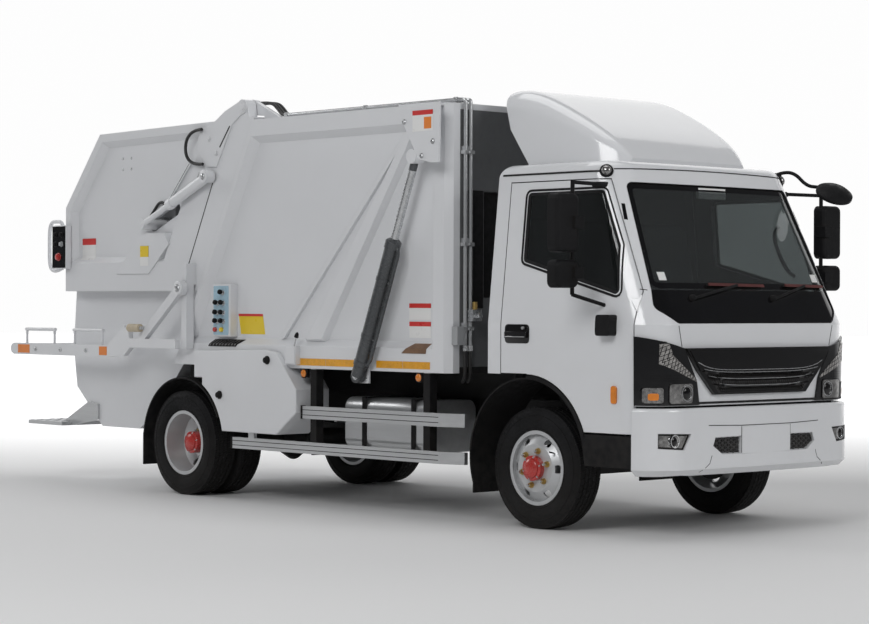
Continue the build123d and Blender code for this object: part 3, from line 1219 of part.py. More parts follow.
with BuildPart() as control_box:
    block(GATE_REAR_X - BOX_L, GATE_REAR_X, -BOX_OUT_Y, -BOX_IN_Y, BOX_LOW_Z, BOX_HIGH_Z)
    for z in (GRAB_LOW_Z, GRAB_HIGH_Z):
        rod((GATE_REAR_X, -GRAB_Y, z), (GRAB_X, -GRAB_Y, z), GRAB_STAY_R)
    rod((GRAB_X, -GRAB_Y, GRAB_LOW_Z - GRAB_R), (GRAB_X, -GRAB_Y, GRAB_HIGH_Z + GRAB_R), GRAB_R)
keep(control_box.part, "control_box")

# Rear lamps at the lower corners of the tailgate's back
REAR_LAMP_T = 32
REAR_LAMP_IN_Y = 700
REAR_LAMP_OUT_Y = 870
REAR_LAMP_LOW_Z = 1572
REAR_LAMP_HIGH_Z = 1660

with BuildPart() as rear_lamps:
    block(GATE_REAR_X - REAR_LAMP_T, GATE_REAR_X, REAR_LAMP_IN_Y, REAR_LAMP_OUT_Y,
          REAR_LAMP_LOW_Z, REAR_LAMP_HIGH_Z)
    mirror(about=Plane.XZ)
keep(rear_lamps.part, "rear_lamps")

# Rear steps on brackets from the hopper's sides
STEP_PLATE_T = 30
STEP_PLATE_Z = 440
STEP_REAR_X = -3360
STEP_NEAR_X = -2880
STEP_PLATE_IN_Y = 620
STEP_PLATE_OUT_Y = 1000
STEP_BRACKET_T = 20
STEP_TREAD_Z = STEP_PLATE_Z + STEP_PLATE_T
STEP_BRACKET = (
    (-2520, 620), (-2640, 640), (-2990, STEP_TREAD_Z), (STEP_REAR_X, STEP_TREAD_Z),
    (STEP_REAR_X, STEP_PLATE_Z), (STEP_NEAR_X, STEP_PLATE_Z), (-2520, 500),
)

with BuildPart() as rear_steps:
    block(STEP_REAR_X, STEP_NEAR_X, STEP_PLATE_IN_Y, STEP_PLATE_OUT_Y, STEP_PLATE_Z, STEP_TREAD_Z)
    slab_y(STEP_BRACKET, GATE_SIDE_IN_Y, GATE_SIDE_IN_Y + STEP_BRACKET_T)
    mirror(about=Plane.XZ)
keep(rear_steps.part, "rear_steps")

# Bin lift posts on the tailgate's columns, with the pivot pins
POST_HALF_L = 30
POST_LOW_Z = 1075
POST_HIGH_Z = 1700
POST_IN_Y = BODY_HALF_W + 6
POST_OUT_Y = LIFT_ARM_IN_Y - 9
POST_FOOT_Z = 1545
LIFT_PIN_R = 25

with BuildPart() as lift_posts:
    post_x = (LIFT_PIVOT_X - POST_HALF_L, LIFT_PIVOT_X + POST_HALF_L)
    block(*post_x, POST_IN_Y, POST_OUT_Y, POST_LOW_Z, POST_HIGH_Z)
    block(*post_x, GATE_HALF_W, POST_IN_Y, POST_FOOT_Z, POST_HIGH_Z)
    rod_y(LIFT_PIVOT_X, LIFT_PIVOT_Z, LIFT_PIN_R, POST_OUT_Y, LIFT_ARM_IN_Y + LIFT_ARM_T)
    mirror(about=Plane.XZ)
keep(lift_posts.part, "lift_posts")

# Bin lift: arms each side, joined by a tube behind the hopper
LIFT_BOSS_R = 55
LIFT_PIN_FIT = 0.5
LIFT_BAR_FRONT_X = -2045
LIFT_TUBE_X = LIFT_REAR_X + LIFT_TUBE_R
LIFT_TUBE_Z = LIFT_BAR_Z + LIFT_BAR_H / 2
LIFT_ARM_W = 70
LIFT_KNEE_X = -1640
LIFT_KNEE_Z = 1140
LIFT_STRUT_X = -1200
LIFT_PLATE = ((-1770, 1075), (-1790, 1200), (-1850, 1240), (LIFT_BAR_FRONT_X - 20, LIFT_BAR_Z + LIFT_BAR_H),
              (LIFT_BAR_FRONT_X - 20, LIFT_BAR_Z), (-1850, 1010))
# columns: rear X, front X of each bin bracket
BIN_BRACKETS = ((-3200, -2810), (-2530, -2160))
BRACKET_R = 13
BRACKET_POST_R = 10
BRACKET_TOP_Z = 1200

with BuildPart() as lifter:
    arm_y = (LIFT_ARM_IN_Y, LIFT_ARM_IN_Y + LIFT_ARM_T)
    rod_y(LIFT_PIVOT_X, LIFT_PIVOT_Z, LIFT_BOSS_R, *arm_y)
    lean = atan2(LIFT_KNEE_Z - LIFT_PIVOT_Z, LIFT_KNEE_X - LIFT_PIVOT_X)
    across_x = -sin(lean) * LIFT_ARM_W / 2
    across_z = cos(lean) * LIFT_ARM_W / 2
    slab_y(((LIFT_PIVOT_X + across_x, LIFT_PIVOT_Z + across_z),
            (LIFT_PIVOT_X - across_x, LIFT_PIVOT_Z - across_z),
            (LIFT_KNEE_X - across_x, LIFT_KNEE_Z - across_z),
            (LIFT_KNEE_X + across_x, LIFT_KNEE_Z + across_z)), *arm_y)
    strut_x, strut_z = LIFT_PLATE[0]
    block(strut_x - LIFT_ARM_T, LIFT_STRUT_X, *arm_y, strut_z, strut_z + LIFT_ARM_W)
    slab_y(LIFT_PLATE, *arm_y)
    block(LIFT_TUBE_X, LIFT_BAR_FRONT_X, *arm_y, LIFT_BAR_Z, LIFT_BAR_Z + LIFT_BAR_H)
    bar_top = LIFT_BAR_Z + LIFT_BAR_H
    bracket_y = LIFT_ARM_IN_Y + LIFT_ARM_T / 2
    for rear_x, front_x in BIN_BRACKETS:
        for x in (rear_x, front_x):
            rod((x, bracket_y, bar_top), (x, bracket_y, BRACKET_TOP_Z), BRACKET_POST_R)
        rod((rear_x - BRACKET_R, bracket_y, BRACKET_TOP_Z),
            (front_x + BRACKET_R, bracket_y, BRACKET_TOP_Z), BRACKET_R)
    rod_y(LIFT_PIVOT_X, LIFT_PIVOT_Z, LIFT_PIN_R + LIFT_PIN_FIT, *arm_y, mode=Mode.SUBTRACT)
    mirror(about=Plane.XZ)
    rod_y(LIFT_TUBE_X, LIFT_TUBE_Z, LIFT_TUBE_R, -LIFT_ARM_IN_Y - LIFT_ARM_T, LIFT_ARM_IN_Y + LIFT_ARM_T)
keep(lifter.part, "lifter")
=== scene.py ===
"""Looks of a rear-loading garbage truck, built round its CAD frame."""
import math

import bmesh
import bpy
from mathutils import Matrix, Vector
from mathutils.bvhtree import BVHTree


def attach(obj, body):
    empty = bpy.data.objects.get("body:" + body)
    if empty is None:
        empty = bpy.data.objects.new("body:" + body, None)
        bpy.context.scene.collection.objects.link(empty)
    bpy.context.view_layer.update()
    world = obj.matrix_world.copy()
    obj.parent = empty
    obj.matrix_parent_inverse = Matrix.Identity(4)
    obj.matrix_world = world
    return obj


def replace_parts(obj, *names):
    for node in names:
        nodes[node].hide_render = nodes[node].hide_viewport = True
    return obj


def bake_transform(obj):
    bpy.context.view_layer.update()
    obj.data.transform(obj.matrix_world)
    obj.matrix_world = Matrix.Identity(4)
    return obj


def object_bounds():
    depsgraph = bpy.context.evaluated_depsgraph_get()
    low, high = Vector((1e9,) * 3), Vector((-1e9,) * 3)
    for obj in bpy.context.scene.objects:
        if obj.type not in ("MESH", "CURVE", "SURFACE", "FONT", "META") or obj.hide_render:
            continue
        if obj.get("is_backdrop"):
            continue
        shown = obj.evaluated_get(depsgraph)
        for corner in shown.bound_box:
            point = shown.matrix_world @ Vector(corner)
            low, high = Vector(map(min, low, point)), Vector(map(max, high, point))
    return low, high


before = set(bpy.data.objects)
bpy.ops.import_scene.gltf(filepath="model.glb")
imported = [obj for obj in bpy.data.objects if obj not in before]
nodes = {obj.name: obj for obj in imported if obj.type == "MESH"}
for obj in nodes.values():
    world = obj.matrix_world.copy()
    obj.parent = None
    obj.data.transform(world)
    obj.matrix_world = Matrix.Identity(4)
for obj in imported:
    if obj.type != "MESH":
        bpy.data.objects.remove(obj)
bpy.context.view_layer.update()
scene = bpy.context.scene
SIDES = (("right", -1), ("left", 1))
BOTH = (-1, 1)


# Materials

BLACK, WHITE, GLOSS = "black_plastic", "body_paint", "gloss_black"


def link(tree, source, target):
    tree.links.new(source, target)


def fill(node, values):
    """Set inputs of a node by their names."""
    for name, value in values.items():
        node.inputs[name].default_value = value


def blank_material(name):
    """New material, with its node tree and its shader."""
    made = bpy.data.materials.new(name)
    made.use_nodes = True
    return made, made.node_tree, made.node_tree.nodes["Principled BSDF"]


def mix(tree, factor, first, second):
    """Colour mix node; each input is a socket or a constant."""
    node = tree.nodes.new("ShaderNodeMix")
    node.data_type = "RGBA"
    for socket, value in ((node.inputs[0], factor), (node.inputs[6], first), (node.inputs[7], second)):
        if isinstance(value, bpy.types.NodeSocket):
            link(tree, value, socket)
        else:
            socket.default_value = value
    return node.outputs[2]


def spread(tree, value, low, high, to_low, to_high):
    """Value moved from one range to another and held there."""
    node = tree.nodes.new("ShaderNodeMapRange")
    link(tree, value, node.inputs["Value"])
    fill(node, {"From Min": low, "From Max": high, "To Min": to_low, "To Max": to_high})
    return node.outputs["Result"]


def times(tree, first, second):
    node = tree.nodes.new("ShaderNodeMath")
    node.operation = "MULTIPLY"
    link(tree, first, node.inputs[0])
    link(tree, second, node.inputs[1])
    return node.outputs[0]


def noise(tree, where, scale, detail=4):
    node = tree.nodes.new("ShaderNodeTexNoise")
    fill(node, {"Scale": scale, "Detail": detail})
    link(tree, where, node.inputs["Vector"])
    return node.outputs["Fac"]


def tone(colour, factor):
    return (*(min(c * factor, 1) for c in colour[:3]), 1)


# dust colour; darkened, it is also the colour of the painted shade in corners
DUST_AND_SHADE = (0.3, 0.27, 0.23, 1)
COAT_ROUGH, CORNER_REACH, GRAIN_DEPTH = 0.05, 0.05, 0.002
mats = {}


def material(name, colour, rough, metal=0, coat=0, vary=0.2, dust_and_shade=0, scale=2.5, dirt_top=1.3, bump=0,
             bump_scale=120, edge=0, transmission=0, stretch=None, sheen=0.5, uneven=0.35):
    """Procedural finish: mottled colour and gloss, dust low down, painted shade in corners, softened edges.
    """
    made, tree, shader = blank_material(name)
    fill(shader, {"Metallic": metal, "Coat Weight": coat, "Coat Roughness": COAT_ROUGH,
                  "Transmission Weight": transmission, "Specular IOR Level": sheen})
    coords = tree.nodes.new("ShaderNodeTexCoord")
    where = coords.outputs["Object"]
    if stretch:
        mapping = tree.nodes.new("ShaderNodeMapping")
        fill(mapping, {"Scale": stretch})
        link(tree, where, mapping.inputs["Vector"])
        where = mapping.outputs["Vector"]
    cloud = noise(tree, where, scale)
    fine = noise(tree, where, scale * 9, 6)
    dark, pale = tone(colour, 1 - vary), tone(colour, 1 + vary)
    base = mix(tree, spread(tree, cloud, 0.35, 0.65, 0, 1), dark, pale)
    gloss = spread(tree, fine, 0.3, 0.7, max(rough * (1 - uneven), 0.02), min(rough * (1 + uneven), 1))
    if dust_and_shade:
        split = tree.nodes.new("ShaderNodeSeparateXYZ")
        link(tree, coords.outputs["Object"], split.inputs[0])
        low = spread(tree, split.outputs["Z"], 0.1, dirt_top, dust_and_shade, dust_and_shade * 0.08)
        patches = times(tree, low, spread(tree, fine, 0.35, 0.7, 0.2, 1.3))
        base = mix(tree, patches, base, DUST_AND_SHADE)
        # painted shade: corners darkened by ambient occlusion towards a dark dust colour
        corner = tree.nodes.new("ShaderNodeAmbientOcclusion")
        corner.samples = 4
        fill(corner, {"Distance": CORNER_REACH})
        corner_shade = spread(tree, corner.outputs["AO"], 0.2, 0.95, 0.45 * dust_and_shade + 0.12, 0)
        base = mix(tree, corner_shade, base, tone(DUST_AND_SHADE, 0.35))
    link(tree, base, shader.inputs["Base Color"])
    link(tree, gloss, shader.inputs["Roughness"])
    normal = None
    if edge:
        rounding = tree.nodes.new("ShaderNodeBevel")
        rounding.samples = 4
        fill(rounding, {"Radius": edge})
        normal = rounding.outputs["Normal"]
    if bump:
        grain = tree.nodes.new("ShaderNodeBump")
        fill(grain, {"Strength": bump, "Distance": GRAIN_DEPTH})
        link(tree, noise(tree, where, bump_scale, 3), grain.inputs["Height"])
        if normal:
            link(tree, normal, grain.inputs["Normal"])
        normal = grain.outputs["Normal"]
    if normal:
        link(tree, normal, shader.inputs["Normal"])
    mats[name] = made


# columns: name, colour, roughness, metal, coat, mottling, dust and painted corner shade, then what else is
# set
material("cab_paint", (0.8, 0.81, 0.83), 0.16, 0, 0.7, 0.01, 0.03, dirt_top=0.9, edge=0.006, uneven=0.08)
material("body_paint", (0.77, 0.78, 0.8), 0.3, 0, 0.3, 0.01, 0.03, dirt_top=1.1, edge=0.005, uneven=0.08)
material("chassis_paint", (0.014, 0.014, 0.015), 0.45, 0, 0, 0.3, 0.06, edge=0.004, sheen=0.2)
material("ram_paint", (0.075, 0.08, 0.085), 0.26, 0.3, 0, 0.15, 0.1, edge=0.003)
material("black_plastic", (0.012, 0.012, 0.013), 0.5, 0, 0, 0.2, 0.05, bump=0.12, bump_scale=900,
         edge=0.004, sheen=0.1)
material("gloss_black", (0.004, 0.004, 0.005), 0.08, 0, 0.25, 0.2, 0.03, sheen=0.3)
material("lamp_dark", (0.008, 0.008, 0.009), 0.1, 0, 0.35, sheen=0.3)
material("red_lens", (0.5, 0.012, 0.012), 0.12, 0, 0.8, 0.1)
material("tyre", (0.011, 0.011, 0.012), 0.66, 0, 0, 0.25, 0.05, scale=7, dirt_top=0.6, bump=0.2,
         bump_scale=400, sheen=0.12)
material("rim_paint", (0.6, 0.61, 0.62), 0.36, 0.45, 0, 0.02, 0.03, scale=9, dirt_top=0.8, edge=0.004,
         uneven=0.08)
material("aluminium", (0.66, 0.67, 0.68), 0.34, 0.8, 0, 0.04, 0.05, scale=6, uneven=0.15, edge=0.003,
         stretch=(0.3, 4, 4))
material("steel", (0.58, 0.59, 0.6), 0.28, 0.95, 0, 0.1, 0.08, scale=8, edge=0.003)
material("chrome", (0.8, 0.81, 0.82), 0.08, 1, 0, 0.04, scale=9)
material("pipe_silver", (0.6, 0.61, 0.62), 0.24, 0.7, 0, 0.03, uneven=0.1)
material("side_glass", (0.17, 0.19, 0.19), 0.02, 0, 0, 0.03, transmission=0.95)
material("mirror", (0.85, 0.87, 0.88), 0.02, 1, 0, 0.01)
material("blue_panel", (0.4, 0.58, 0.69), 0.35, 0, 0, 0.04, 0.08, edge=0.003)
material("grey_plastic", (0.36, 0.37, 0.38), 0.45, 0, 0, 0.06, 0.12, edge=0.003)
material("fabric", (0.05, 0.05, 0.056), 0.9, scale=20, bump=0.5, bump_scale=700)
material("lining", (0.03, 0.03, 0.032), 0.75, 0, 0, 0.12, scale=6, bump=0.2, bump_scale=500)
material("glass", (0.4, 0.43, 0.43), 0.02, 0, 0, 0.03, transmission=0.95, sheen=0.3)
material("lens", (0.26, 0.255, 0.25), 0.12, 0.7, 0.8, 0.4, scale=38)
material("led", (0.4, 0.385, 0.37), 0.22, 0.4, 0.8, 0.3, scale=45)
material("amber", (0.8, 0.24, 0.02), 0.18, 0, 0.8, 0.08, scale=25)
# dark joints, and the painted shadow under the bumper's top edge
material("seam_and_shadow", (0.012, 0.012, 0.012), 0.8)
material("mesh", (0.022, 0.022, 0.024), 0.35, 0, 0.3, 0.2, 0.1)
material("rubber", (0.012, 0.012, 0.013), 0.65, 0, 0, 0.2, 0.05, bump=0.1, bump_scale=500, sheen=0.2)
material("hose", (0.014, 0.014, 0.015), 0.45, 0, 0, 0.2, 0.1, scale=20, bump=0.15, bump_scale=900)
material("strip", (0.82, 0.38, 0.02), 0.3, 0, 0.4, 0.08, 0.06, scale=25)
# the body's front wall is painted dark grey for the shade it stands in behind the cab
material("wall_painted_shade", (0.13, 0.135, 0.14), 0.5, 0, 0, 0.08, 0.08, edge=0.004)
material("wiper_red", (0.1, 0.022, 0.02), 0.45, 0, 0, 0.15, scale=20)
material("red_paint", (0.52, 0.022, 0.018), 0.28, 0, 0.4, 0.1, 0.14, scale=14, edge=0.003)
material("brass", (0.62, 0.42, 0.14), 0.32, 0.9, 0, 0.12, 0.1, scale=40, edge=0.002)
material("yellow", (0.86, 0.62, 0.02), 0.4, 0, 0.2, 0.04, 0.1)
material("white_label", (0.86, 0.86, 0.85), 0.38, 0, 0.2, 0.02, 0.06)
material("red_label", (0.66, 0.03, 0.025), 0.38, 0, 0.2, 0.05, 0.06)
material("orange_label", (0.84, 0.24, 0.03), 0.4, 0, 0.2, 0.05, 0.08)
material("brown_plate", (0.2, 0.11, 0.06), 0.45, 0, 0, 0.15, 0.15, scale=15)
material("beige", (0.55, 0.47, 0.34), 0.5, 0, 0, 0.1, 0.15, scale=18)
NODE_MATERIALS = {
    "cab_paint": "cab_shell door_left door_right roof_fairing bumper",
    "body_paint": "body_sides body_roof ram_covers side_lockers tailgate_sides tailgate_roof hopper "
                  "packer_barrels lifter lift_posts control_panel carriage",
    "wall_painted_shade": "body_front",
    "chassis_paint": "frame front_axle rear_axle springs engine_block knuckle_left knuckle_right body_floor "
                     "tow_eyes",
    "ram_paint": "rams",
    "black_plastic": "wheel_arches mudguards dashboard mirror_left mirror_right",
    "gloss_black": "grille cowl",
    "lamp_dark": "headlamps",
    "red_lens": "rear_lamps",
    "glass": "windscreen",
    "side_glass": "door_glass_left door_glass_right",
    "rim_paint": "rim_front_left rim_front_right rim_rear_left rim_rear_right",
    "aluminium": "side_guards fuel_tank rear_steps",
    "pipe_silver": "pipes",
    "steel": "blade",
}
for finish, names in NODE_MATERIALS.items():
    for name in names.split():
        nodes[name].data.materials.clear()
        nodes[name].data.materials.append(mats[finish])


# Shapes

def ring(centre, across, upward, radius, sides):
    """Points of a circle in the plane of two unit vectors."""
    turns = (2 * math.pi * i / sides for i in range(sides))
    return [centre + radius * (math.cos(t) * across + math.sin(t) * upward) for t in turns]


def circle(centre, axis, radius, sides):
    """Points of a circle square to an axis."""
    across = axis.orthogonal().normalized()
    return ring(centre, across, axis.cross(across).normalized(), radius, sides)


def evenly(half, count):
    """Even steps from -half to half, with count of them on each side of zero."""
    return [half * k / count for k in range(-count, count + 1)]


def shown(name, data):
    """Object with the given data, in the scene."""
    made = bpy.data.objects.new(name, data)
    scene.collection.objects.link(made)
    return made


def soften(piece, width, segments, angle):
    """Round the edges that turn by more than an angle."""
    rounding = piece.modifiers.new("rounding", "BEVEL")
    rounding.width, rounding.segments = width, segments
    rounding.limit_method, rounding.angle_limit = "ANGLE", math.radians(angle)


def rounded(points, radius, steps=4):
    """Outline in a plane with its corners rounded by arcs."""
    corners = [Vector(p) for p in points]
    made = []
    for before, corner, after in zip(corners[-1:] + corners[:-1], corners, corners[1:] + corners[:1]):
        back, on = (before - corner).normalized(), (after - corner).normalized()
        half = math.acos(max(-1, min(1, back.dot(on)))) / 2
        reach = min(radius / math.tan(half), 0.45 * (before - corner).length, 0.45 * (after - corner).length)
        first, last = corner + back * reach, corner + on * reach
        for i in range(steps + 1):
            t = i / steps
            made.append((1 - t) ** 2 * first + 2 * t * (1 - t) * corner + t * t * last)
    return [tuple(p) for p in made]


def rectangle(u_low, u_high, v_low, v_high, radius=0):
    points = ((u_low, v_low), (u_high, v_low), (u_high, v_high), (u_low, v_high))
    return rounded(points, radius) if radius else points


def clipped(outline, start, way):
    """Ends of the stretch of a line that lies in a convex outline, or None."""
    low, high = -10, 10
    turn = sum(a[0] * b[1] - a[1] * b[0] for a, b in zip(outline, outline[1:] + outline[:1]))
    for a, b in zip(outline, outline[1:] + outline[:1]):
        inward = Vector((a[1] - b[1], b[0] - a[0])) * (1 if turn > 0 else -1)
        lean = inward.dot(way)
        gap = inward.dot(Vector(a) - start)
        if abs(lean) < 1e-9:
            if gap > 0:
                return None
        elif lean > 0:
            low = max(low, gap / lean)
        else:
            high = min(high, gap / lean)
    return (start + way * low, start + way * high) if high - low > 0.004 else None


def facing(axis, *names):
    """Place function: the outermost point of the named nodes, seen along an axis."""
    points, polygons = [], []
    for name in names:
        holder, start = nodes[name], len(points)
        points.extend(holder.matrix_world @ v.co for v in holder.data.vertices)
        polygons.extend(tuple(start + i for i in p.vertices) for p in holder.data.polygons)
    tree = BVHTree.FromPolygons(points, polygons)
    out = Vector(axis)
    flat = [i for i in range(3) if not axis[i]]

    def place(u, v, lift=0):
        start = out * 8
        start[flat[0]], start[flat[1]] = u, v
        hit = tree.ray_cast(start, -out)[0]
        if hit is None:
            raise ValueError(f"nothing to lie on at {u:.3f}, {v:.3f} of {names}")
        return hit + out * lift
    return place


class Shape:
    """Many small solids gathered into one mesh, each with its own finish.

    Its flat pieces lie on the surface that place finds, unless they name another.
    """

    def __init__(self, place=None):
        self.place = place
        self.points, self.faces, self.marks, self.finishes = [], [], [], []

    def add(self, points, faces, finish):
        if finish not in self.finishes:
            self.finishes.append(finish)
        start = len(self.points)
        self.points.extend(tuple(p) for p in points)
        self.faces.extend(tuple(start + i for i in face) for face in faces)
        self.marks.extend([self.finishes.index(finish)] * len(faces))

    def rings(self, rings, finish, closed=False):
        """Skin over rings of one count, capped unless the row of rings closes on itself."""
        count = len(rings[0])
        faces = []
        for r in range(len(rings) if closed else len(rings) - 1):
            a, b = r * count, (r + 1) % len(rings) * count
            faces.extend((a + i, a + (i + 1) % count, b + (i + 1) % count, b + i) for i in range(count))
        if not closed:
            faces.append(tuple(range(count - 1, -1, -1)))
            faces.append(tuple(range((len(rings) - 1) * count, len(rings) * count)))
        self.add([p for ring in rings for p in ring], faces, finish)

    def box(self, low, high, finish):
        (x0, y0, z0), (x1, y1, z1) = low, high
        foot = ((x0, y0), (x1, y0), (x1, y1), (x0, y1))
        self.rings([[(x, y, z) for x, y in foot] for z in (z0, z1)], finish)

    def lathe(self, centre, axis, profile, finish, sides=24, closed=False):
        """Turned solid, or a turned ring if closed.

        The profile's columns are the way along the axis and the radius.
        """
        centre, axis = Vector(centre), Vector(axis).normalized()
        rings = [circle(centre + axis * along, axis, radius, sides) for along, radius in profile]
        self.rings(rings, finish, closed)

    def rod(self, start, end, radius, finish, sides=14):
        start, end = Vector(start), Vector(end)
        self.lathe(start, end - start, ((0, radius), ((end - start).length, radius)), finish, sides)

    def dome(self, centre, axis, radius, height, finish, sides=20):
        steps = ((0, 1), (0.35, 0.94), (0.65, 0.77), (0.87, 0.5), (0.98, 0.2))
        self.lathe(centre, axis, [(height * a, radius * r) for a, r in steps], finish, sides)

    def bolt(self, centre, axis, radius, height, finish):
        """Six-sided head on a washer."""
        self.lathe(centre, axis, ((0, radius * 1.35), (height * 0.3, radius * 1.35)), finish, 16)
        self.lathe(centre, axis, ((0, radius), (height * 0.85, radius), (height, radius * 0.8)), finish, 6)

    def tube(self, path, radius, finish, sides=10):
        path = [Vector(p) for p in path]
        ways = [(b - a).normalized() for a, b in zip(path, path[1:])]
        across = ways[0].orthogonal().normalized()
        rings = []
        for i, point in enumerate(path):
            way = (ways[max(i - 1, 0)] + ways[min(i, len(ways) - 1)]).normalized()
            across = (across - way * across.dot(way)).normalized()
            rings.append(ring(point, across, way.cross(across), radius, sides))
        self.rings(rings, finish)

    def ribbon(self, path, width, lift, finish, place=None, closed=False, step=0.03, depth=0.004):
        """Flat strip laid along a path on a surface."""
        place = place or self.place
        corners = [Vector(p) for p in path]
        ends = corners[1:] + (corners[:1] if closed else [])
        line = []
        for a, b in zip(corners, ends):
            count = max(1, math.ceil((b - a).length / step))
            line.extend(a.lerp(b, i / count) for i in range(count))
        if not closed:
            line.append(corners[-1])
        rings = []
        for i, point in enumerate(line):
            before = line[i - 1] if closed or i else point
            after = line[(i + 1) % len(line)] if closed or i + 1 < len(line) else point
            way = (after - before).normalized()
            side = Vector((-way.y, way.x)) * width / 2
            left, right = point + side, point - side
            corners = ((left, lift), (right, lift), (right, -depth), (left, -depth))
            rings.append([place(*spot, height) for spot, height in corners])
        self.rings(rings, finish, closed)

    def drape(self, outline, lift, finish, place=None, step=0.06, depth=0.003):
        """Flat sheet of a given outline laid on a surface, closed at its edge."""
        place = place or self.place
        sheet = bmesh.new()
        sheet.faces.new([sheet.verts.new((*p, 0)) for p in outline])
        for axis in range(2):
            low, high = min(p[axis] for p in outline), max(p[axis] for p in outline)
            count = max(1, math.ceil((high - low) / step))
            normal = Vector((1, 0, 0)) if axis == 0 else Vector((0, 1, 0))
            for i in range(1, count):
                cut = normal * (low + (high - low) * i / count)
                geometry = sheet.verts[:] + sheet.edges[:] + sheet.faces[:]
                bmesh.ops.bisect_plane(sheet, geom=geometry, plane_co=cut, plane_no=normal)
        sheet.verts.index_update()
        spots = [(v.co.x, v.co.y) for v in sheet.verts]
        over, under = [place(*s, lift) for s in spots], [place(*s, -depth) for s in spots]
        count = len(spots)
        faces = [tuple(v.index for v in f.verts) for f in sheet.faces]
        faces += [tuple(count + i for i in reversed(f)) for f in faces]
        for edge in sheet.edges:
            if edge.is_boundary:
                a, b = (v.index for v in edge.verts)
                faces.append((a, b, count + b, count + a))
        sheet.free()
        self.add(over + under, faces, finish)

    def grid(self, outline, lift, finish, spacing, width, ways):
        """Crossed strips that fill a convex outline."""
        middle = sum((Vector(p) for p in outline), Vector((0, 0))) / len(outline)
        for angle in ways:
            way = Vector((math.cos(math.radians(angle)), math.sin(math.radians(angle))))
            side = Vector((-way.y, way.x))
            for k in range(-40, 41):
                ends = clipped(list(outline), middle + side * spacing * k, way)
                if ends:
                    self.ribbon(ends, width, lift, finish)

    def done(self, name, body="chassis", bevel=0, angle=35):
        mesh = bpy.data.meshes.new(name)
        mesh.from_pydata(self.points, [], self.faces)
        for finish in self.finishes:
            mesh.materials.append(mats[finish])
        mesh.polygons.foreach_set("material_index", self.marks)
        shell = bmesh.new()
        shell.from_mesh(mesh)
        bmesh.ops.recalc_face_normals(shell, faces=shell.faces)
        shell.to_mesh(mesh)
        shell.free()
        mesh.shade_smooth()
        mesh.set_sharp_from_angle(angle=math.radians(angle))
        piece = shown(name, mesh)
        if bevel:
            soften(piece, bevel, 2, 40)
        if body:
            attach(piece, body)
        return piece


def mirrored(place, s):
    """Place function of the left half (1), or of its mirror image on the right (-1)."""
    return lambda u, v, lift=0: place(s * u, v, lift)


def spline(route):
    """Points of the smooth line that has the route's points as its controls."""
    curve = bpy.data.curves.new("route", "CURVE")
    curve.dimensions = "3D"
    line = curve.splines.new("NURBS")
    line.points.add(len(route) - 1)
    for point, place in zip(line.points, route):
        point.co = (*place, 1)
    line.order_u = 3
    line.use_endpoint_u = True
    curve.resolution_u = 8
    holder = bpy.data.objects.new("route", curve)
    mesh = bpy.data.meshes.new_from_object(holder)
    points = [v.co.copy() for v in mesh.vertices]
    bpy.data.objects.remove(holder)
    bpy.data.curves.remove(curve)
    bpy.data.meshes.remove(mesh)
    return points


FRONT_NODES = ("cab_shell", "cowl", "windscreen", "grille", "headlamps", "bumper", "door_left", "door_right")
on_front = facing((1, 0, 0), *FRONT_NODES)
on_back = facing((-1, 0, 0), "rear_lamps", "tailgate_sides", "hopper")
on_wall = facing((1, 0, 0), "body_front")
SIDE_NODES = ("cab_shell", "body_sides", "ram_covers", "side_lockers", "side_guards", "tailgate_sides",
              "hopper", "control_panel", "wheel_arches", "bumper")
on_side = {s: facing((0, s, 0), "door_" + name, *SIDE_NODES) for name, s in SIDES}
on_lift = {s: facing((0, s, 0), "lifter") for s in BOTH}


# Lamps, grille and bumper

STRIPES = (((0.884, 1.196), (0.834, 1.19), (0.801, 1.106), (0.886, 1.056)),
           ((0.801, 1.106), (0.598, 0.96), (0.598, 0.946), (0.886, 1.056)))
DIPPED = (0.68, 0.878)
TURN_LENS = rectangle(0.855, 0.96, 0.818, 0.916, 0.018)
TURN_BULB = rectangle(0.885, 0.935, 0.838, 0.88, 0.012)
RIBS = (0.955, 0.97, 0.985)
MAIN_LENS = rectangle(0.624, 0.825, 0.814, 0.938, 0.025)
VENT = ((0.246, 0.508), (0.246, 0.603), (0.464, 0.601), (0.482, 0.556), (0.406, 0.51))
FOG = ((0.69, 0.628), (0.897, 0.633), (0.897, 0.556), (0.74, 0.545))
FOG_LAMP = (0.8, 0.592)

lamps = Shape()
for s in BOTH:
    lamps.place = mirrored(on_front, s)
    for stripe in STRIPES:
        lamps.drape(stripe, 0.003, "led", step=0.02)
        lamps.grid(stripe, 0.0045, GLOSS, 0.024, 0.003, (s * 20, s * 75))
    for outline in (MAIN_LENS, TURN_LENS):
        lamps.drape(outline, 0.003, "lens", step=0.015)
        lamps.ribbon(outline, 0.006, 0.005, GLOSS, closed=True, step=0.01)
    lamps.drape(TURN_BULB, 0.0045, "amber", step=0.01)
    for z in RIBS:
        lamps.ribbon(((0.72, z), (0.955, z)), 0.004, 0.002, GLOSS, step=0.015)
    spot = on_front(s * DIPPED[0], DIPPED[1])
    lamps.lathe(spot, (1, 0, 0), ((-0.02, 0.05), (0.008, 0.05), (0.008, 0.044), (-0.004, 0.04)), "chrome")
    lamps.dome(spot, (1, 0, 0), 0.04, 0.012, GLOSS)
lamps.done("headlamp_lenses")

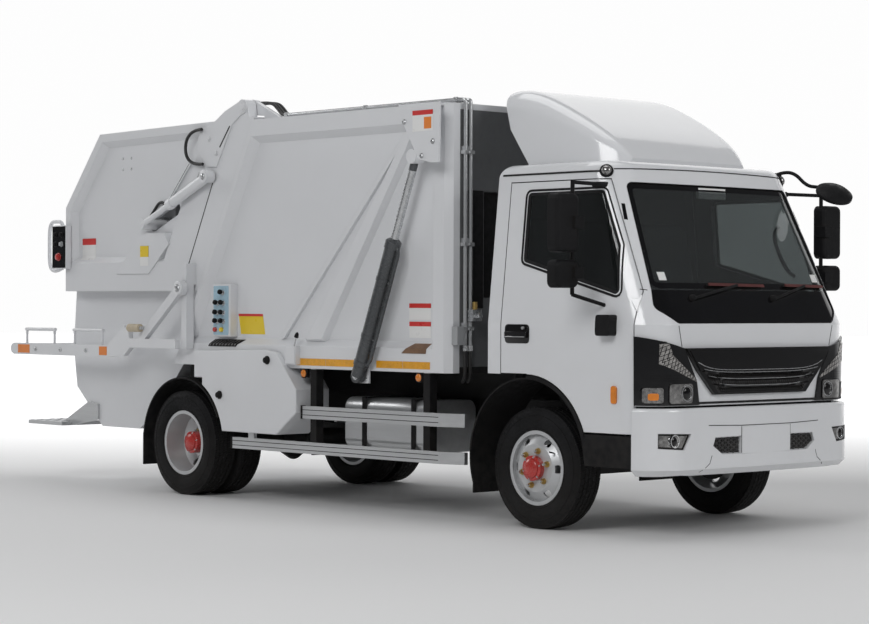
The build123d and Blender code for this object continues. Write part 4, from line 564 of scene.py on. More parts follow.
trim = Shape()
for s in BOTH:
    trim.place = mirrored(on_front, s)
    trim.drape(VENT, 0.002, BLACK)
    trim.grid(VENT, 0.008, "mesh", 0.026, 0.005, (30, 90, 150))
    trim.drape(FOG, 0.006, "lens", step=0.02)
    trim.ribbon(FOG, 0.01, 0.009, BLACK, closed=True)
    spot = on_front(s * FOG_LAMP[0], FOG_LAMP[1])
    trim.lathe(spot, (1, 0, 0), ((-0.01, 0.04), (0.014, 0.04), (0.014, 0.034), (0.004, 0.032)), "chrome")
    trim.dome(spot, (1, 0, 0), 0.032, 0.014, GLOSS)
    trim.ribbon(((0.5, 0.498), (0.52, 0.45), (0.595, 0.4)), 0.004, 0.0006, "seam_and_shadow")
    trim.ribbon(((0.236, 0.668), (0.236, 0.505)), 0.004, 0.0006, "seam_and_shadow")
trim.ribbon(((-0.53, 0.682), (-0.236, 0.674), (0.236, 0.674), (0.53, 0.682)), 0.005, 0.0006, "seam_and_shadow")
# black band under the bumper's top edge: painted shadow of the gap there
trim.ribbon(((-0.9, 0.816), (0.9, 0.816)), 0.014, 0.002, "seam_and_shadow")
trim.done("bumper_trim")

SLATS = ((0.99, 0.545), (0.95, 0.5), (0.91, 0.455))  # height, half width
BACKING = ((-0.405, 0.876), (0.405, 0.876), (0.535, 1), (-0.535, 1))
CELLS = ((-0.4, 0.88), (0.4, 0.88), (0.53, 0.996), (-0.53, 0.996))
UPPER_PANEL = ((-0.575, 1.012), (0.575, 1.012), (0.668, 1.134), (-0.668, 1.134))
slats = Shape(on_front)
slats.drape(BACKING, 0.001, "mesh", step=0.03)
slats.grid(CELLS, 0.004, BLACK, 0.017, 0.004, (55, 125))
for height, half in SLATS:
    line = [(y, height + 0.022 * abs(y / half) ** 4) for y in evenly(half, 12)]
    slats.ribbon(line, 0.014, 0.012, GLOSS)
    slats.ribbon([(y, z + 0.009) for y, z in line], 0.0035, 0.0125, "steel")
slats.drape(UPPER_PANEL, 0.006, GLOSS, step=0.08)
line = [(y, 1.014 + 0.05 * abs(y / 0.6) ** 6) for y in evenly(0.6, 12)]
slats.ribbon(line, 0.004, 0.008, "steel")
slats.done("grille_slats")

# Windscreen, wipers and cab trim

SCREEN = rounded(((-0.846, 1.512), (0.846, 1.512), (0.762, 2.16), (-0.762, 2.16)), 0.045)
SCREEN_Z = 1.836
WIPERS = ((-0.54, -0.37, 0.15), (0.22, 0.37, 0.77))  # pivot, blade start, blade end
PIVOT_Z, BLADE_Z = 1.452, 1.535
screen = Shape(on_front)
band = [(y * 0.975, SCREEN_Z + (z - SCREEN_Z) * 0.95) for y, z in SCREEN]
screen.ribbon(band, 0.034, 0.001, GLOSS, closed=True)
for pivot, start, end in WIPERS:
    foot, middle = on_front(pivot, PIVOT_Z, 0.022), on_front((start + end) / 2, BLADE_Z, 0.026)
    screen.dome(on_front(pivot, PIVOT_Z), (1, 0, 0.3), 0.022, 0.034, BLACK)
    screen.tube((foot, foot.lerp(middle, 0.5) + Vector((0.012, 0, 0.004)), middle), 0.009, BLACK)
    screen.ribbon(((start, BLADE_Z), (end, BLADE_Z - 0.006)), 0.01, 0.02, "rubber", depth=-0.001)
    cover = ((start, BLADE_Z + 0.004), (end, BLADE_Z - 0.002))
    screen.ribbon(cover, 0.018, 0.028, "wiper_red", depth=-0.02)
for y in (-0.735, 0.735):
    screen.drape(rectangle(y - 0.03, y + 0.03, 1.56, 1.61), 0.0015, "white_label")
screen.done("wipers")

GUTTER_Z = 2.232
# Small plate over each front corner of the cab
CORNER = [(3.11, 0.954, 1.468), (3.186, 0.902, 1.468), (3.19, 0.935, 1.372), (3.172, 0.949, 1.372)]
CORNER += [(x - 0.004, y - 0.004, z) for x, y, z in reversed(CORNER)]
cab = Shape()
for s in BOTH:
    cab.place = mirrored(on_front, s)
    cab.ribbon(((1.975, GUTTER_Z), (2.8, GUTTER_Z)), 0.012, 0.003, "seam_and_shadow", on_side[s])
    cab.ribbon(((0.822, 2.03), (0.838, 1.93)), 0.016, 0.002, GLOSS)
    cab.ribbon(((0.9, 1.505), (0.868, 1.5)), 0.005, 0.0008, "seam_and_shadow")
    cab.ribbon(((0.742, 1.285), (0.712, 1.158)), 0.005, 0.0008, "seam_and_shadow")
    spot, out = Vector((2.828, s * 0.836, 2.233)), Vector((0.61, s * 0.72, 0.34))
    cab.lathe(spot, out, ((-0.02, 0.046), (0.008, 0.042), (0.012, 0.034)), BLACK)
    cab.dome(spot + out * 0.01, out, 0.032, 0.026, "lens")
    cab.add([(x, s * y, z) for x, y, z in CORNER], [(0, 1, 2, 3), (4, 5, 6, 7)], "cab_paint")
crown = [(y, 2.246 + 0.012 * (1 - (y / 0.8) ** 2)) for y in evenly(0.8, 10)]
cab.ribbon(crown, 0.007, 0.0015, "seam_and_shadow")
ARM = ((2.8, 0.8, 2.262), (2.82, 0.85, 2.29), (2.9, 0.9, 2.292), (2.98, 0.93, 2.2), (3.06, 0.95, 2.19),
       (3.14, 0.95, 2.18))
DISH, DISH_AXIS = (3.205, 0.95, 2.172), (-0.55, 0.25, -0.85)
cab.tube(spline(ARM), 0.012, BLACK)
cab.box((2.765, 0.77, 2.24), (2.835, 0.85, 2.285), BLACK)
cab.lathe(DISH, DISH_AXIS, ((0, 0.03), (0.01, 0.095), (0.028, 0.122), (0.046, 0.122)), BLACK, 32)
cab.lathe(DISH, DISH_AXIS, ((0.04, 0.112), (0.048, 0.112)), "mirror", 32)
cab.done("cab_trim")

# Doors and mirrors

WINDOW = ((2.216, 1.68), (2.216, 2.115), (2.845, 2.115), (3.01, 1.77), (3.06, 1.465))
DOOR_HANDLE = rectangle(2.095, 2.312, 1.165, 1.285, 0.03)
for name, s in SIDES:
    door = Shape(on_side[s])
    seal = facing((0, s, 0), "door_" + name, "door_glass_" + name)
    door.ribbon(rounded(WINDOW, 0.03), 0.04, 0.004, "rubber", seal, closed=True, step=0.015)
    door.drape(DOOR_HANDLE, 0.003, GLOSS)
    door.box((2.112, s * 1.0015, 1.198), (2.297, s * 1.01, 1.238), GLOSS)
    door.box((2.116, s * 1.0095, 1.204), (2.293, s * 1.0115, 1.21), "chrome")
    door.lathe((2.275, s * 1.008, 1.262), (0, s, 0), ((-0.01, 0.01), (0.004, 0.01)), "steel", 16)
    door.drape(rectangle(3.018, 3.062, 0.812, 0.92, 0.018), 0.012, "amber")
    door.drape(rectangle(2.94, 3.055, 1.222, 1.35, 0.02), 0.07, BLACK)
    door.drape(rectangle(2.79, 2.855, 2.132, 2.164, 0.01), 0.04, BLACK)
    for low, high in ((1.525, 1.665), (1.742, 2.063)):
        door.drape(rectangle(*sorted((s * 1.196, s * 1.354)), low, high, 0.03), 0.001, "mirror",
                   facing((-1, 0, 0), "mirror_" + name))
    for z in (1.6, 1.905):
        door.box((2.865, s * 1.165, z - 0.036), (2.955, s * 1.24, z + 0.036), BLACK)
    door.done("door_trim_" + name, "door_" + name, bevel=0.002)
    soften(nodes["mirror_" + name], 0.022, 4, 50)

# Inside of the cab

CAB_CENTRE, LINING_LIFT = Vector((2.5, 0, 1.65)), 0.0015


def lining(node, body):
    """Dark trim over the faces of a panel that look into the cab."""
    shape, mesh = Shape(), nodes[node].data
    for polygon in mesh.polygons:
        inward = CAB_CENTRE - polygon.center
        if polygon.normal.dot(inward) > 0.3 * inward.length:
            points = [mesh.vertices[i].co + polygon.normal * LINING_LIFT for i in polygon.vertices]
            shape.add(points, [tuple(range(len(points)))], "lining")
    mesh = bpy.data.meshes.new(node + "_lining")
    mesh.from_pydata(shape.points, [], shape.faces)
    mesh.materials.append(mats["lining"])
    piece = shown(node + "_lining", mesh)
    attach(piece, body)


lining("cab_shell", "chassis")
for name, _ in SIDES:
    lining("door_" + name, "door_" + name)

CHANNELS, CHANNEL_WIDTH, CHANNEL_DEPTH = (-0.5, 0.5), 0.09, 0.012


def cushion(name, centre, size, tilt, puff):
    """Stuffed pad with rounded edges, a crowned face and two stitched channels."""
    pad = bmesh.new()
    bmesh.ops.create_cube(pad, size=2)
    bmesh.ops.subdivide_edges(pad, edges=pad.edges[:], cuts=13, use_grid_fill=True)
    half = Vector(size) / 2
    radius = 0.6 * min(half)
    for vertex in pad.verts:
        share = vertex.co.copy()
        wanted = Vector(share[i] * half[i] for i in range(3))
        core = Vector(max(-half[i] + radius, min(half[i] - radius, wanted[i])) for i in range(3))
        out = wanted - core
        if out.length:
            wanted = core + out.normalized() * min(radius, max(abs(c) for c in out))
        if share.z > 0:
            channel = sum(math.exp(-((share.y - line) / CHANNEL_WIDTH) ** 2) for line in CHANNELS)
            crown = puff * (1 - share.x ** 2) * (1 - share.y ** 2)
            wanted.z += crown - CHANNEL_DEPTH * channel * (1 - share.x ** 4)
        vertex.co = wanted
    bmesh.ops.recalc_face_normals(pad, faces=pad.faces)
    mesh = bpy.data.meshes.new(name)
    pad.to_mesh(mesh)
    pad.free()
    mesh.shade_smooth()
    mesh.materials.append(mats["fabric"])
    mesh.transform(Matrix.Translation(centre) @ Matrix.Rotation(math.radians(tilt), 4, "Y"))
    piece = shown(name, mesh)
    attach(piece, "chassis")


# columns: name, lowest and highest Y
SEATS = (("driver", 0.19, 0.71), ("middle", -0.42, -0.06), ("mate", -0.8, -0.44))
pedestal = Shape()
for name, low, high in SEATS:
    middle, width = (low + high) / 2, high - low - 0.01
    pedestal.box((2.19, low + 0.04, 1.012), (2.55, high - 0.04, 1.245), BLACK)
    cushion("seat_" + name, (2.415, middle, 1.315), (0.49, width, 0.13), -3, 0.02)
    cushion("seat_back_" + name, (2.128, middle, 1.665), (0.58, width, 0.12), 79, 0.02)
seat_frame = pedestal.done("seat_frames", bevel=0.01)
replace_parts(seat_frame, "seats")

PILLAR_GRIP = ((2.99, 0.8, 1.6), (2.95, 0.77, 1.62), (2.86, 0.755, 1.8), (2.84, 0.76, 1.9),
               (2.86, 0.79, 1.93))
GEAR_LEVER = ((2.78, 0.1, 1.02), (2.8, 0.1, 1.2), (2.76, 0.1, 1.34))
inside = Shape()
inside.box((2.935, -0.13, 2.08), (2.96, 0.13, 2.15), "white_label")
inside.box((2.933, -0.12, 2.09), (2.936, 0.12, 2.14), "mirror")
inside.rod((2.95, 0, 2.14), (2.93, 0, 2.2), 0.008, BLACK)
inside.tube(spline(PILLAR_GRIP), 0.013, "grey_plastic")
inside.tube(spline(GEAR_LEVER), 0.01, BLACK)
inside.dome((2.76, 0.1, 1.32), (-0.2, 0, 1), 0.025, 0.05, BLACK)
inside.done("cab_fittings", bevel=0.004)

# Wheels

TYRE_R, CARCASS_R = 0.3835, 0.3715
# columns of a row: X of the axle, Y of each tyre, Y of the disc, Y of the hub's end
AXLES = {"front": (2.32, (0.83,), 0.936, 0.968), "rear": (-1.23, (0.695, 0.94), 0.8315, 0.9675)}
SECTION = ((0.0827, 0.2225), (0.096, 0.238), (0.1035, 0.262), (0.107, 0.29), (0.1062, 0.316), (0.1025, 0.34),
           (0.0965, 0.359), (0.0875, CARCASS_R), (0.05, CARCASS_R + 0.0005))
TREAD_ROWS = ((-0.088, -0.056), (-0.049, -0.02), (-0.0145, 0.0145), (0.02, 0.049), (0.056, 0.088))
TREAD_COUNT, NUT_COUNT, NUT_RING, CAP_RING = 54, 6, 0.111, 0.071
ROUND = 72
RIDGE = ((0, -0.004), (0.004, -0.0015), (0.004, 0.0015), (0, 0.004))


def tyre(shape, centre):
    """Road tyre: a turned carcass with five rows of tread blocks."""
    profile = list(SECTION) + [(-a, r) for a, r in reversed(SECTION)]
    axis = Vector((0, 1, 0))
    shape.rings([circle(centre + axis * a, axis, r, ROUND) for a, r in profile], "tyre", closed=True)
    for radius, out in ((0.252, 0.0995), (0.33, 0.103)):
        for s in BOTH:
            ridge = [circle(centre + axis * s * (out + d), axis, radius + w, ROUND) for d, w in RIDGE]
            shape.rings(ridge, "tyre", closed=True)
    pitch = 2 * math.pi / TREAD_COUNT
    for row, (low, high) in enumerate(TREAD_ROWS):
        edge = abs(low + high) > 0.1
        for k in range(TREAD_COUNT):
            rings = []
            for radius in (CARCASS_R - 0.004, TYRE_R):
                corners = []
                for y, turn in ((low, -0.08), (low, 0.84), (high, 0.98), (high, 0.06)):
                    angle = pitch * (k + 0.5 * (row % 2) + turn)
                    reach = radius - (0.002 if edge and abs(y) > 0.08 else 0)
                    corners.append(centre + Vector((math.cos(angle) * reach, y, math.sin(angle) * reach)))
                rings.append(corners)
            shape.rings(rings, "tyre")


for end, (axle_x, tracks, disc_y, hub_y) in AXLES.items():
    for name, s in SIDES:
        body = f"wheel_{end}_{name}"
        rubber = Shape()
        for track in tracks:
            tyre(rubber, Vector((axle_x, s * track, TYRE_R)))
        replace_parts(rubber.done(f"tyre_tread_{end}_{name}", body, angle=28), f"tyre_{end}_{name}")
        hub = Shape()
        centre, out = Vector((axle_x, s * disc_y, TYRE_R)), Vector((0, s, 0))
        reach = hub_y - disc_y
        drum = ((-0.002, 0.08), (reach + 0.001, 0.0795), (reach + 0.004, 0.07))
        cap = ((reach, 0.062), (reach + 0.012, 0.06), (reach + 0.022, 0.046), (reach + 0.026, 0.02))
        for profile in (drum, cap):
            hub.lathe(centre, out, profile, "red_paint", 32)
        for k in range(NUT_COUNT):
            angle = 2 * math.pi * (k + 0.25) / NUT_COUNT
            ray = Vector((math.cos(angle), 0, math.sin(angle)))
            spot = centre + NUT_RING * ray
            hub.bolt(spot, out, 0.0145, 0.028, "brass")
            hub.lathe(spot, out, ((0.02, 0.009), (0.042, 0.008)), "steel", 10)
            hub.bolt(centre + out * reach + CAP_RING * ray, out, 0.006, 0.007, "steel")
        valve_foot, valve_tip = Vector((0.155, -s * 0.01, 0.1)), Vector((0.165, s * 0.04, 0.11))
        hub.rod(centre + valve_foot, centre + valve_tip, 0.005, "rubber")
        hub.done(f"hub_{end}_{name}", body)

# Body sides

def label(shape, outline, finish, header=None, share=0.28, lift=0.0015):
    """Blank plate, with a coloured band along its top edge."""
    shape.drape(outline, lift, finish, step=0.012)
    if header:
        foot_left, foot_right, top_right, top_left = (Vector(p) for p in outline)
        band = [top_left.lerp(foot_left, share), top_right.lerp(foot_right, share), top_right, top_left]
        shape.drape([tuple(p) for p in band], lift + 0.001, header, step=0.012)


YELLOW_SIGN = ((-0.649, 1.19), (-0.372, 1.19), (-0.4, 1.335), (-0.68, 1.335))
BROWN_PLATE = ((1.15, 1.084), (1.385, 1.084), (1.398, 1.15), (1.24, 1.15))
LOUVRE = ((-0.955, 1.099), (-0.637, 1.099), (-0.57, 1.15), (-0.925, 1.15))
right = on_side[-1]
signs = Shape(right)
label(signs, YELLOW_SIGN, "yellow", "red_label", 0.12)
label(signs, rectangle(1.158, 1.37, 1.307, 1.414), "white_label", "red_label")
label(signs, rectangle(1.16, 1.37, 1.186, 1.293), "white_label", "red_label")
label(signs, BROWN_PLATE, "brown_plate", lift=0.005)
label(signs, rectangle(1.388, 1.583, 2.53, 2.666), "white_label", "red_label", 0.22)
signs.drape(rectangle(1.5, 1.568, 2.545, 2.62), 0.003, "orange_label")
signs.drape(LOUVRE, 0.006, BLACK, step=0.012)
for k in range(9):
    x = -0.93 + 0.036 * k
    signs.ribbon(((x, 1.102), (x + 0.03, 1.146)), 0.01, 0.011, "mesh", step=0.01)
signs.done("body_labels")

STRIPS = ((0.053, 0.366), (0.37, 0.685), (0.896, 1.158), (1.162, 1.427))
LAMPS = ((0.107, 0.925), (1.295, 0.925))
COVER_BOLTS = ((1.582, 2.461), (1.476, 2.371), (1.307, 2.599))
BUFFERS = ((-0.217, 1.011), (-0.765, 0.75))
LAMP_RIM = ((0, 0.034), (0.01, 0.034), (0.012, 0.028))
BUFFER_PROFILE = ((-0.002, 0.03), (0.006, 0.03), (0.008, 0.022), (0.026, 0.02), (0.03, 0.014))
side_trim = Shape()
for s in BOTH:
    out = Vector((0, s, 0))
    for low, high in STRIPS:
        side_trim.drape(rectangle(low, high, 0.982, 1.03), 0.002, "strip", on_side[s])
    for x, z in LAMPS:
        side_trim.box((x - 0.03, s * 0.965, z - 0.03), (x + 0.03, s * 0.985, 0.961), BLACK)
        side_trim.lathe((x, s * 0.985, z), out, LAMP_RIM, BLACK)
        side_trim.dome((x, s * 0.995, z), out, 0.028, 0.014, "amber")
    for x, z in COVER_BOLTS:
        side_trim.bolt(on_side[s](x, z), out, 0.013, 0.012, "steel")
    for x, z in BUFFERS:
        side_trim.lathe(on_side[s](x, z), out, BUFFER_PROFILE, "rubber")
side_trim.done("side_trim")

service = Shape()
service.box((-0.019, -1.062, 0.986), (0.095, -1.012, 1.114), WHITE)
service.box((-0.012, -1.065, 0.993), (0.088, -1.061, 1.107), WHITE)
service.rod((0.06, -1.045, 1.11), (0.092, -1.05, 1.18), 0.006, "steel")
service.dome((0.09, -1.05, 1.175), (0.4, 0, 1), 0.016, 0.04, BLACK)
service.done("service_box", bevel=0.004)

KNOBS = ((-0.768, 1.486), (-0.824, 1.411), (-0.761, 1.411), (-0.829, 1.341), (-0.761, 1.341),
         (-0.829, 1.279), (-0.761, 1.279))
BUTTONS = ((-0.848, 1.22, "red_paint"), (-0.773, 1.22, "yellow"))
SOCKET = ((0, 0.02), (0.006, 0.018))
KNOB_PROFILE = ((0, 0.008), (0.005, 0.016), (0.016, 0.019), (0.027, 0.016), (0.032, 0.007))
BUTTON_PROFILE = ((0.004, 0.017), (0.02, 0.017), (0.024, 0.012))
PANEL_Y = -1.03
out = Vector((0, -1, 0))
levers = Shape(right)
levers.drape(rectangle(-0.878, -0.702, 1.182, 1.536, 0.012), 0.002, "blue_panel")
for x, z in KNOBS:
    levers.lathe((x, PANEL_Y, z), out, SOCKET, "steel", 18)
    levers.rod((x, PANEL_Y, z), (x, PANEL_Y - 0.024, z + 0.004), 0.007, "steel")
    levers.lathe((x, PANEL_Y - 0.014, z + 0.003), (0, -1, 0.2), KNOB_PROFILE, BLACK)
for x, z, finish in BUTTONS:
    levers.lathe((x, PANEL_Y, z), out, SOCKET, "steel", 18)
    levers.lathe((x, PANEL_Y, z), out, BUTTON_PROFILE, finish, 18)
levers.done("lever_panel_knobs")

# Side rams

RAM_FOOT, RAM_HEAD = Vector((0.773, 0, 0.924)), Vector((1.344, 0, 2.375))
RAM_Y, BARREL_SHARE = 1.069, 0.62
GLAND = ((-0.05, 0.0515), (-0.05, 0.055), (-0.002, 0.055), (0.008, 0.045), (0.02, 0.03))
FOOT_BAND = ((0.075, 0.051), (0.08, 0.055), (0.11, 0.055), (0.115, 0.051))
CLIP = ((-0.012, 0.0505), (-0.012, 0.053), (0.012, 0.053), (0.012, 0.0505))
ram = Shape()
for s in BOTH:
    foot, head = RAM_FOOT + Vector((0, s * RAM_Y, 0)), RAM_HEAD + Vector((0, s * RAM_Y, 0))
    way = (head - foot).normalized()
    length = (head - foot).length
    beside = way.cross(Vector((0, s, 0))).normalized()
    top = foot + way * length * BARREL_SHARE
    ram.rod(top, foot + way * length * 0.94, 0.0276, "steel", 24)
    ram.lathe(head - Vector((0, s * 0.045, 0)), (0, s, 0), ((0, 0.0485), (0.09, 0.0485)), WHITE, 28)
    ram.lathe(top, way, GLAND, "ram_paint", 28)
    ram.lathe(foot, way, FOOT_BAND, "ram_paint", 28)
    # columns: end of the barrel, way along the ram from there, way beside it
    pipe = ((foot, 0.1, 0.05), (foot, 0.13, 0.075), (foot, 0.2, 0.075),
            (top, -0.1, 0.075), (top, -0.05, 0.07), (top, -0.03, 0.05))
    ram.tube(spline([end + way * along + beside * off for end, along, off in pipe]), 0.013, "ram_paint")
    for share in (0.3, 0.72):
        spot = foot.lerp(top, share)
        ram.lathe(spot, way, CLIP, "ram_paint", 28)
        ram.rod(spot + beside * 0.05 - way * 0.008, spot + beside * 0.086 - way * 0.008, 0.006, "steel")
    ram.box((0.711, s * 1.014, 0.876), (0.835, s * 1.031, 1.017), WHITE)
    for x in (0.735, 0.811):
        for z in (0.9, 0.992):
            ram.bolt((x, s * 1.031, z), (0, s, 0), 0.01, 0.01, "steel")
    ram.bolt((0.773, s * 1.092, 0.924), (0, s, 0), 0.02, 0.016, "steel")
ram.done("ram_fittings")

# Pipes, valve and front wall

ROOF_PIPE_Z, WALL_PIPE_X = 2.745, 1.625
NUT_R, NUT_HALF = 0.0185, 0.018
WALL_PIPES_Y = (-0.89, -0.845)
plumbing = Shape(on_wall)


def roof_nut(x, y):
    plumbing.rod((x - NUT_HALF, y, ROOF_PIPE_Z), (x + NUT_HALF, y, ROOF_PIPE_Z), NUT_R, "steel", 6)


for roof_y, wall_y in zip((-0.905, -0.865), WALL_PIPES_Y):
    bend = [(x, roof_y, ROOF_PIPE_Z) for x in (1.555, 1.6)]
    bend += [(WALL_PIPE_X, wall_y, z) for z in (2.742, 2.7, 2.655)]
    plumbing.tube(spline(bend), 0.013, "pipe_silver", 14)
    for x in (1.548, 0.65, -0.198):
        roof_nut(x, roof_y)
for x in (1.548, -0.198):
    roof_nut(x, -0.82)
for y in WALL_PIPES_Y:
    plumbing.rod((WALL_PIPE_X, y, 1.105), (WALL_PIPE_X, y, 1.14), NUT_R, "steel", 6)
    drop = [(WALL_PIPE_X, y, 1.12), (WALL_PIPE_X, y, 1.02), (1.6, y + 0.03, 0.93), (1.52, y + 0.08, 0.9)]
    plumbing.tube(spline(drop), 0.012, "hose")
for z in (1.25, 1.8, 2.4):
    plumbing.box((1.602, -0.912, z - 0.012), (1.644, -0.823, z + 0.012), "pipe_silver")
    plumbing.bolt((1.644, -0.8675, z), (1, 0, 0), 0.007, 0.006, "steel")
plumbing.box((1.601, -0.985, 1.145), (1.655, -0.92, 1.265), "grey_plastic")
plumbing.box((1.64, -0.88, 1.3), (1.69, -0.8, 1.375), "steel")
plumbing.rod((1.665, -0.84, 1.37), (1.665, -0.84, 1.425), 0.016, "brass")
plumbing.rod((1.69, -0.84, 1.335), (1.722, -0.84, 1.335), 0.018, "steel", 6)
# black sheets over the front wall's recesses: painted shade for the dark void behind them
plumbing.drape(rectangle(-0.69, 0.69, 1.455, 2.145), 0.002, "rubber", step=0.3)
for s in BOTH:
    plumbing.drape(rectangle(0.705, 0.88, 1.385, 2.155), 0.002, "rubber", mirrored(on_wall, s), step=0.3)
plumbing.done("plumbing", bevel=0.002)

# Guards and fuel tank

GUARDS = ((0.37, 0.45, -0.67), (0.612, 0.7, 0.12))  # lowest and highest Z, rear end
guards = Shape()
for s in BOTH:
    for z_low, z_high, x_low in GUARDS:
        for share in (0.3, 0.7):
            z = z_low + (z_high - z_low) * share
            guards.ribbon(((x_low, z), (1.515, z)), 0.006, 0.0006, "seam_and_shadow", on_side[s], step=0.3)
        start, end = (x_low - 0.014, s * 0.988, z_low - 0.003), (x_low + 0.006, s * 1.022, z_high + 0.003)
        guards.box(start, end, BLACK)
    for x in (0.178, 1.338):
        guards.box((x, s * 0.927, 0.368), (x + 0.064, s * 0.9925, 0.955), BLACK)
guards.done("guard_trim", bevel=0.002)

# columns: lowest and highest Y, lowest and highest Z
STRAPS = ((-0.884, -0.466, 0.416, 0.42), (-0.884, -0.466, 0.77, 0.774), (-0.884, -0.88, 0.416, 0.774),
          (-0.47, -0.466, 0.416, 0.774))
STRAP_W = 0.045
FILLER_CAP = ((0, 0.04), (0.03, 0.04), (0.03, 0.052), (0.058, 0.05), (0.062, 0.04))
tank = Shape()
for x in (0.6, 1.1):
    for y_low, y_high, z_low, z_high in STRAPS:
        tank.box((x, y_low, z_low), (x + STRAP_W, y_high, z_high), BLACK)
tank.lathe((1.215, -0.8, 0.768), (0, -0.35, 1), FILLER_CAP, BLACK)
tank.done("tank_straps")

# Tailgate

HINGE_X, HINGE_Z = -0.58, 2.82
CYLINDER_FOOT, CYLINDER_HEAD = Vector((-1.73, 0, 2)), Vector((-0.93, 0, 2.33))
CYLINDER_Y, PORT_AWAY = 1.052, 0.12
HINGE_CAP = ((0, 0.04), (0.012, 0.04), (0.012, 0.026), (0.016, 0.024))
COLLAR = ((0.452, 0.034), (0.452, 0.0385), (0.454, 0.043), (0.5, 0.043), (0.504, 0.0385), (0.504, 0.034))
gate = Shape(right)
for s in BOTH:
    out = Vector((0, s, 0))
    gate.ribbon(((-0.935, 2.286), (-1.312, 1.515)), 0.009, 0.0008, "seam_and_shadow", on_side[s])
    gate.ribbon(((-0.722, 2.688), (-0.841, 2.54)), 0.012, 0.0008, "seam_and_shadow", on_side[s])
    for x, z in ((-0.966, 2.608), (-0.88, 2.5)):
        gate.bolt(on_side[s](x, z), out, 0.014, 0.014, WHITE)
    gate.lathe((HINGE_X, s, HINGE_Z), out, HINGE_CAP, WHITE)
    for x in (-2.139, -2.03):
        for z in (2.516, 2.433):
            gate.dome(on_side[s](x, z), out, 0.011, 0.006, "steel")
    head = CYLINDER_HEAD + out * CYLINDER_Y
    way = (CYLINDER_FOOT - CYLINDER_HEAD).normalized()
    gate.lathe(head, out, ((-0.036, 0.046), (0.042, 0.046), (0.044, 0.04)), WHITE)
    gate.bolt(head + out * 0.044, out, 0.018, 0.01, "steel")
    gate.lathe(head, way, COLLAR, WHITE, closed=True)
    port = head + way * PORT_AWAY
    gate.rod(port + Vector((0, 0, 0.036)), port + Vector((0.02, 0, 0.075)), 0.011, "steel")
label(gate, rectangle(-2.68, -2.499, 1.746, 1.912), "white_label", "red_label", 0.3)
label(gate, rectangle(-1.818, -1.712, 1.69, 1.84), "white_label", "yellow", 0.55)
label(gate, rectangle(-1.234, -1.171, 1.545, 1.622), "yellow")
gate.tube(((-1.264, -0.958, 2.442), (-1.533, -0.958, 2.161), (-1.575, -0.958, 2.15)), 0.01, "chrome")
gate.done("gate_fittings", "tailgate")

KEYS = ((-2.895, 1.945, BLACK), (-2.812, 1.945, BLACK), (-2.895, 1.87, BLACK),
        (-2.812, 1.87, "grey_plastic"), (-2.853, 1.77, "red_paint"))
KEY_R, STOP_R = 0.016, 0.026
GRAB_BAR = ((-2.9, -0.985, 2.01), (-2.9, -0.99, 2.048), (-2.98, -0.99, 2.052), (-3.06, -0.98, 2.05),
            (-3.095, -0.98, 2), (-3.095, -0.98, 1.85), (-3.095, -0.98, 1.72), (-3.06, -0.98, 1.665),
            (-2.98, -0.98, 1.66), (-2.9, -0.985, 1.685))
box = Shape()
box.box((-2.95, -1.052, 1.676), (-2.755, -1.004, 2.018), WHITE)
box.box((-2.945, -1.01, 1.69), (-2.837, -0.802, 1.99), WHITE)
box.box((-2.942, -1.056, 1.684), (-2.763, -1.05, 2.01), GLOSS)
for x, z, finish in KEYS:
    wide = STOP_R if finish == "red_paint" else KEY_R
    profile = ((0, wide + 0.006), (0.004, wide + 0.006), (0.004, wide), (0.018, wide), (0.021, wide * 0.8))
    box.lathe((x, -1.055, z), (0, -1, 0), profile, finish)
box.tube(spline(GRAB_BAR), 0.015, WHITE, 14)
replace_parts(box.done("control_box_front", "tailgate", bevel=0.006), "control_box")

STEP_TOP, LUG_HEIGHT = 0.4698, 0.003
rear = Shape()
for s in BOTH:
    for low, high, finish in ((0.705, 0.752, "lens"), (0.758, 0.808, "amber")):
        rear.drape(rectangle(low, high, 1.578, 1.654), 0.002, finish, mirrored(on_back, s))
    for row in range(9):
        for column in range(8):
            x, y = -3.335 + 0.054 * row, s * (0.645 + 0.047 * column)
            turn = 1 if (row + column) % 2 else -1
            along, across = Vector((0.016, 0.016 * turn, 0)), Vector((-0.005 * turn, 0.005, 0))
            spot = Vector((x, y, STEP_TOP))
            foot = [spot + along, spot + across, spot - along, spot - across]
            top = [spot + along * 0.7, spot + across * 0.6, spot - along * 0.7, spot - across * 0.6]
            rear.rings([foot, [p + Vector((0, 0, LUG_HEIGHT)) for p in top]], "aluminium")
rear.done("rear_trim", "tailgate")

# Lifter

LIFT_X, LIFT_Z = -1.16, 1.52
ROLLER = ((0, 0.02), (0.004, 0.03), (0.139, 0.03), (0.143, 0.02))
PIVOT_CAP = ((-0.002, 0.05), (0.01, 0.05), (0.014, 0.04))
lift = Shape()
for s in BOTH:
    lift.place = on_lift[s]
    for low, high in ((-3.302, -3.135), (-2.172, -2.07)):
        label(lift, rectangle(low, high, 1.012, 1.078), "orange_label")
    for x in (-3.05, -2.7, -2.35):
        lift.bolt(on_lift[s](x, 1.045), (0, s, 0), 0.013, 0.012, "steel")
    lift.lathe((-1.736, s * 1.168, 1.224), (1, 0, 0), ROLLER, "beige")
    for x in (-1.75, -1.6):
        lift.box((x, s * 1.136, 1.212), (x + 0.012, s * 1.18, 1.236), "steel")
    lift.lathe((LIFT_X, s * 1.138, LIFT_Z), (0, s, 0), PIVOT_CAP, WHITE)
    lift.bolt((LIFT_X, s * 1.152, LIFT_Z), (0, s, 0), 0.022, 0.012, "steel")
lift.done("lift_fittings", "lifter")

# Hoses

LOOP_Y, FEED_Y = -1.03, -0.962
LOOP = ((-1.03, 2.679), (-1.13, 2.68), (-1.226, 2.61), (-1.226, 2.49), (-1.13, 2.425), (-1.016, 2.425))
FEED = ((-1.575, 2.15), (-1.625, 2.185), (-1.72, 2.095), (-1.79, 2.03), (-1.867, 1.976))


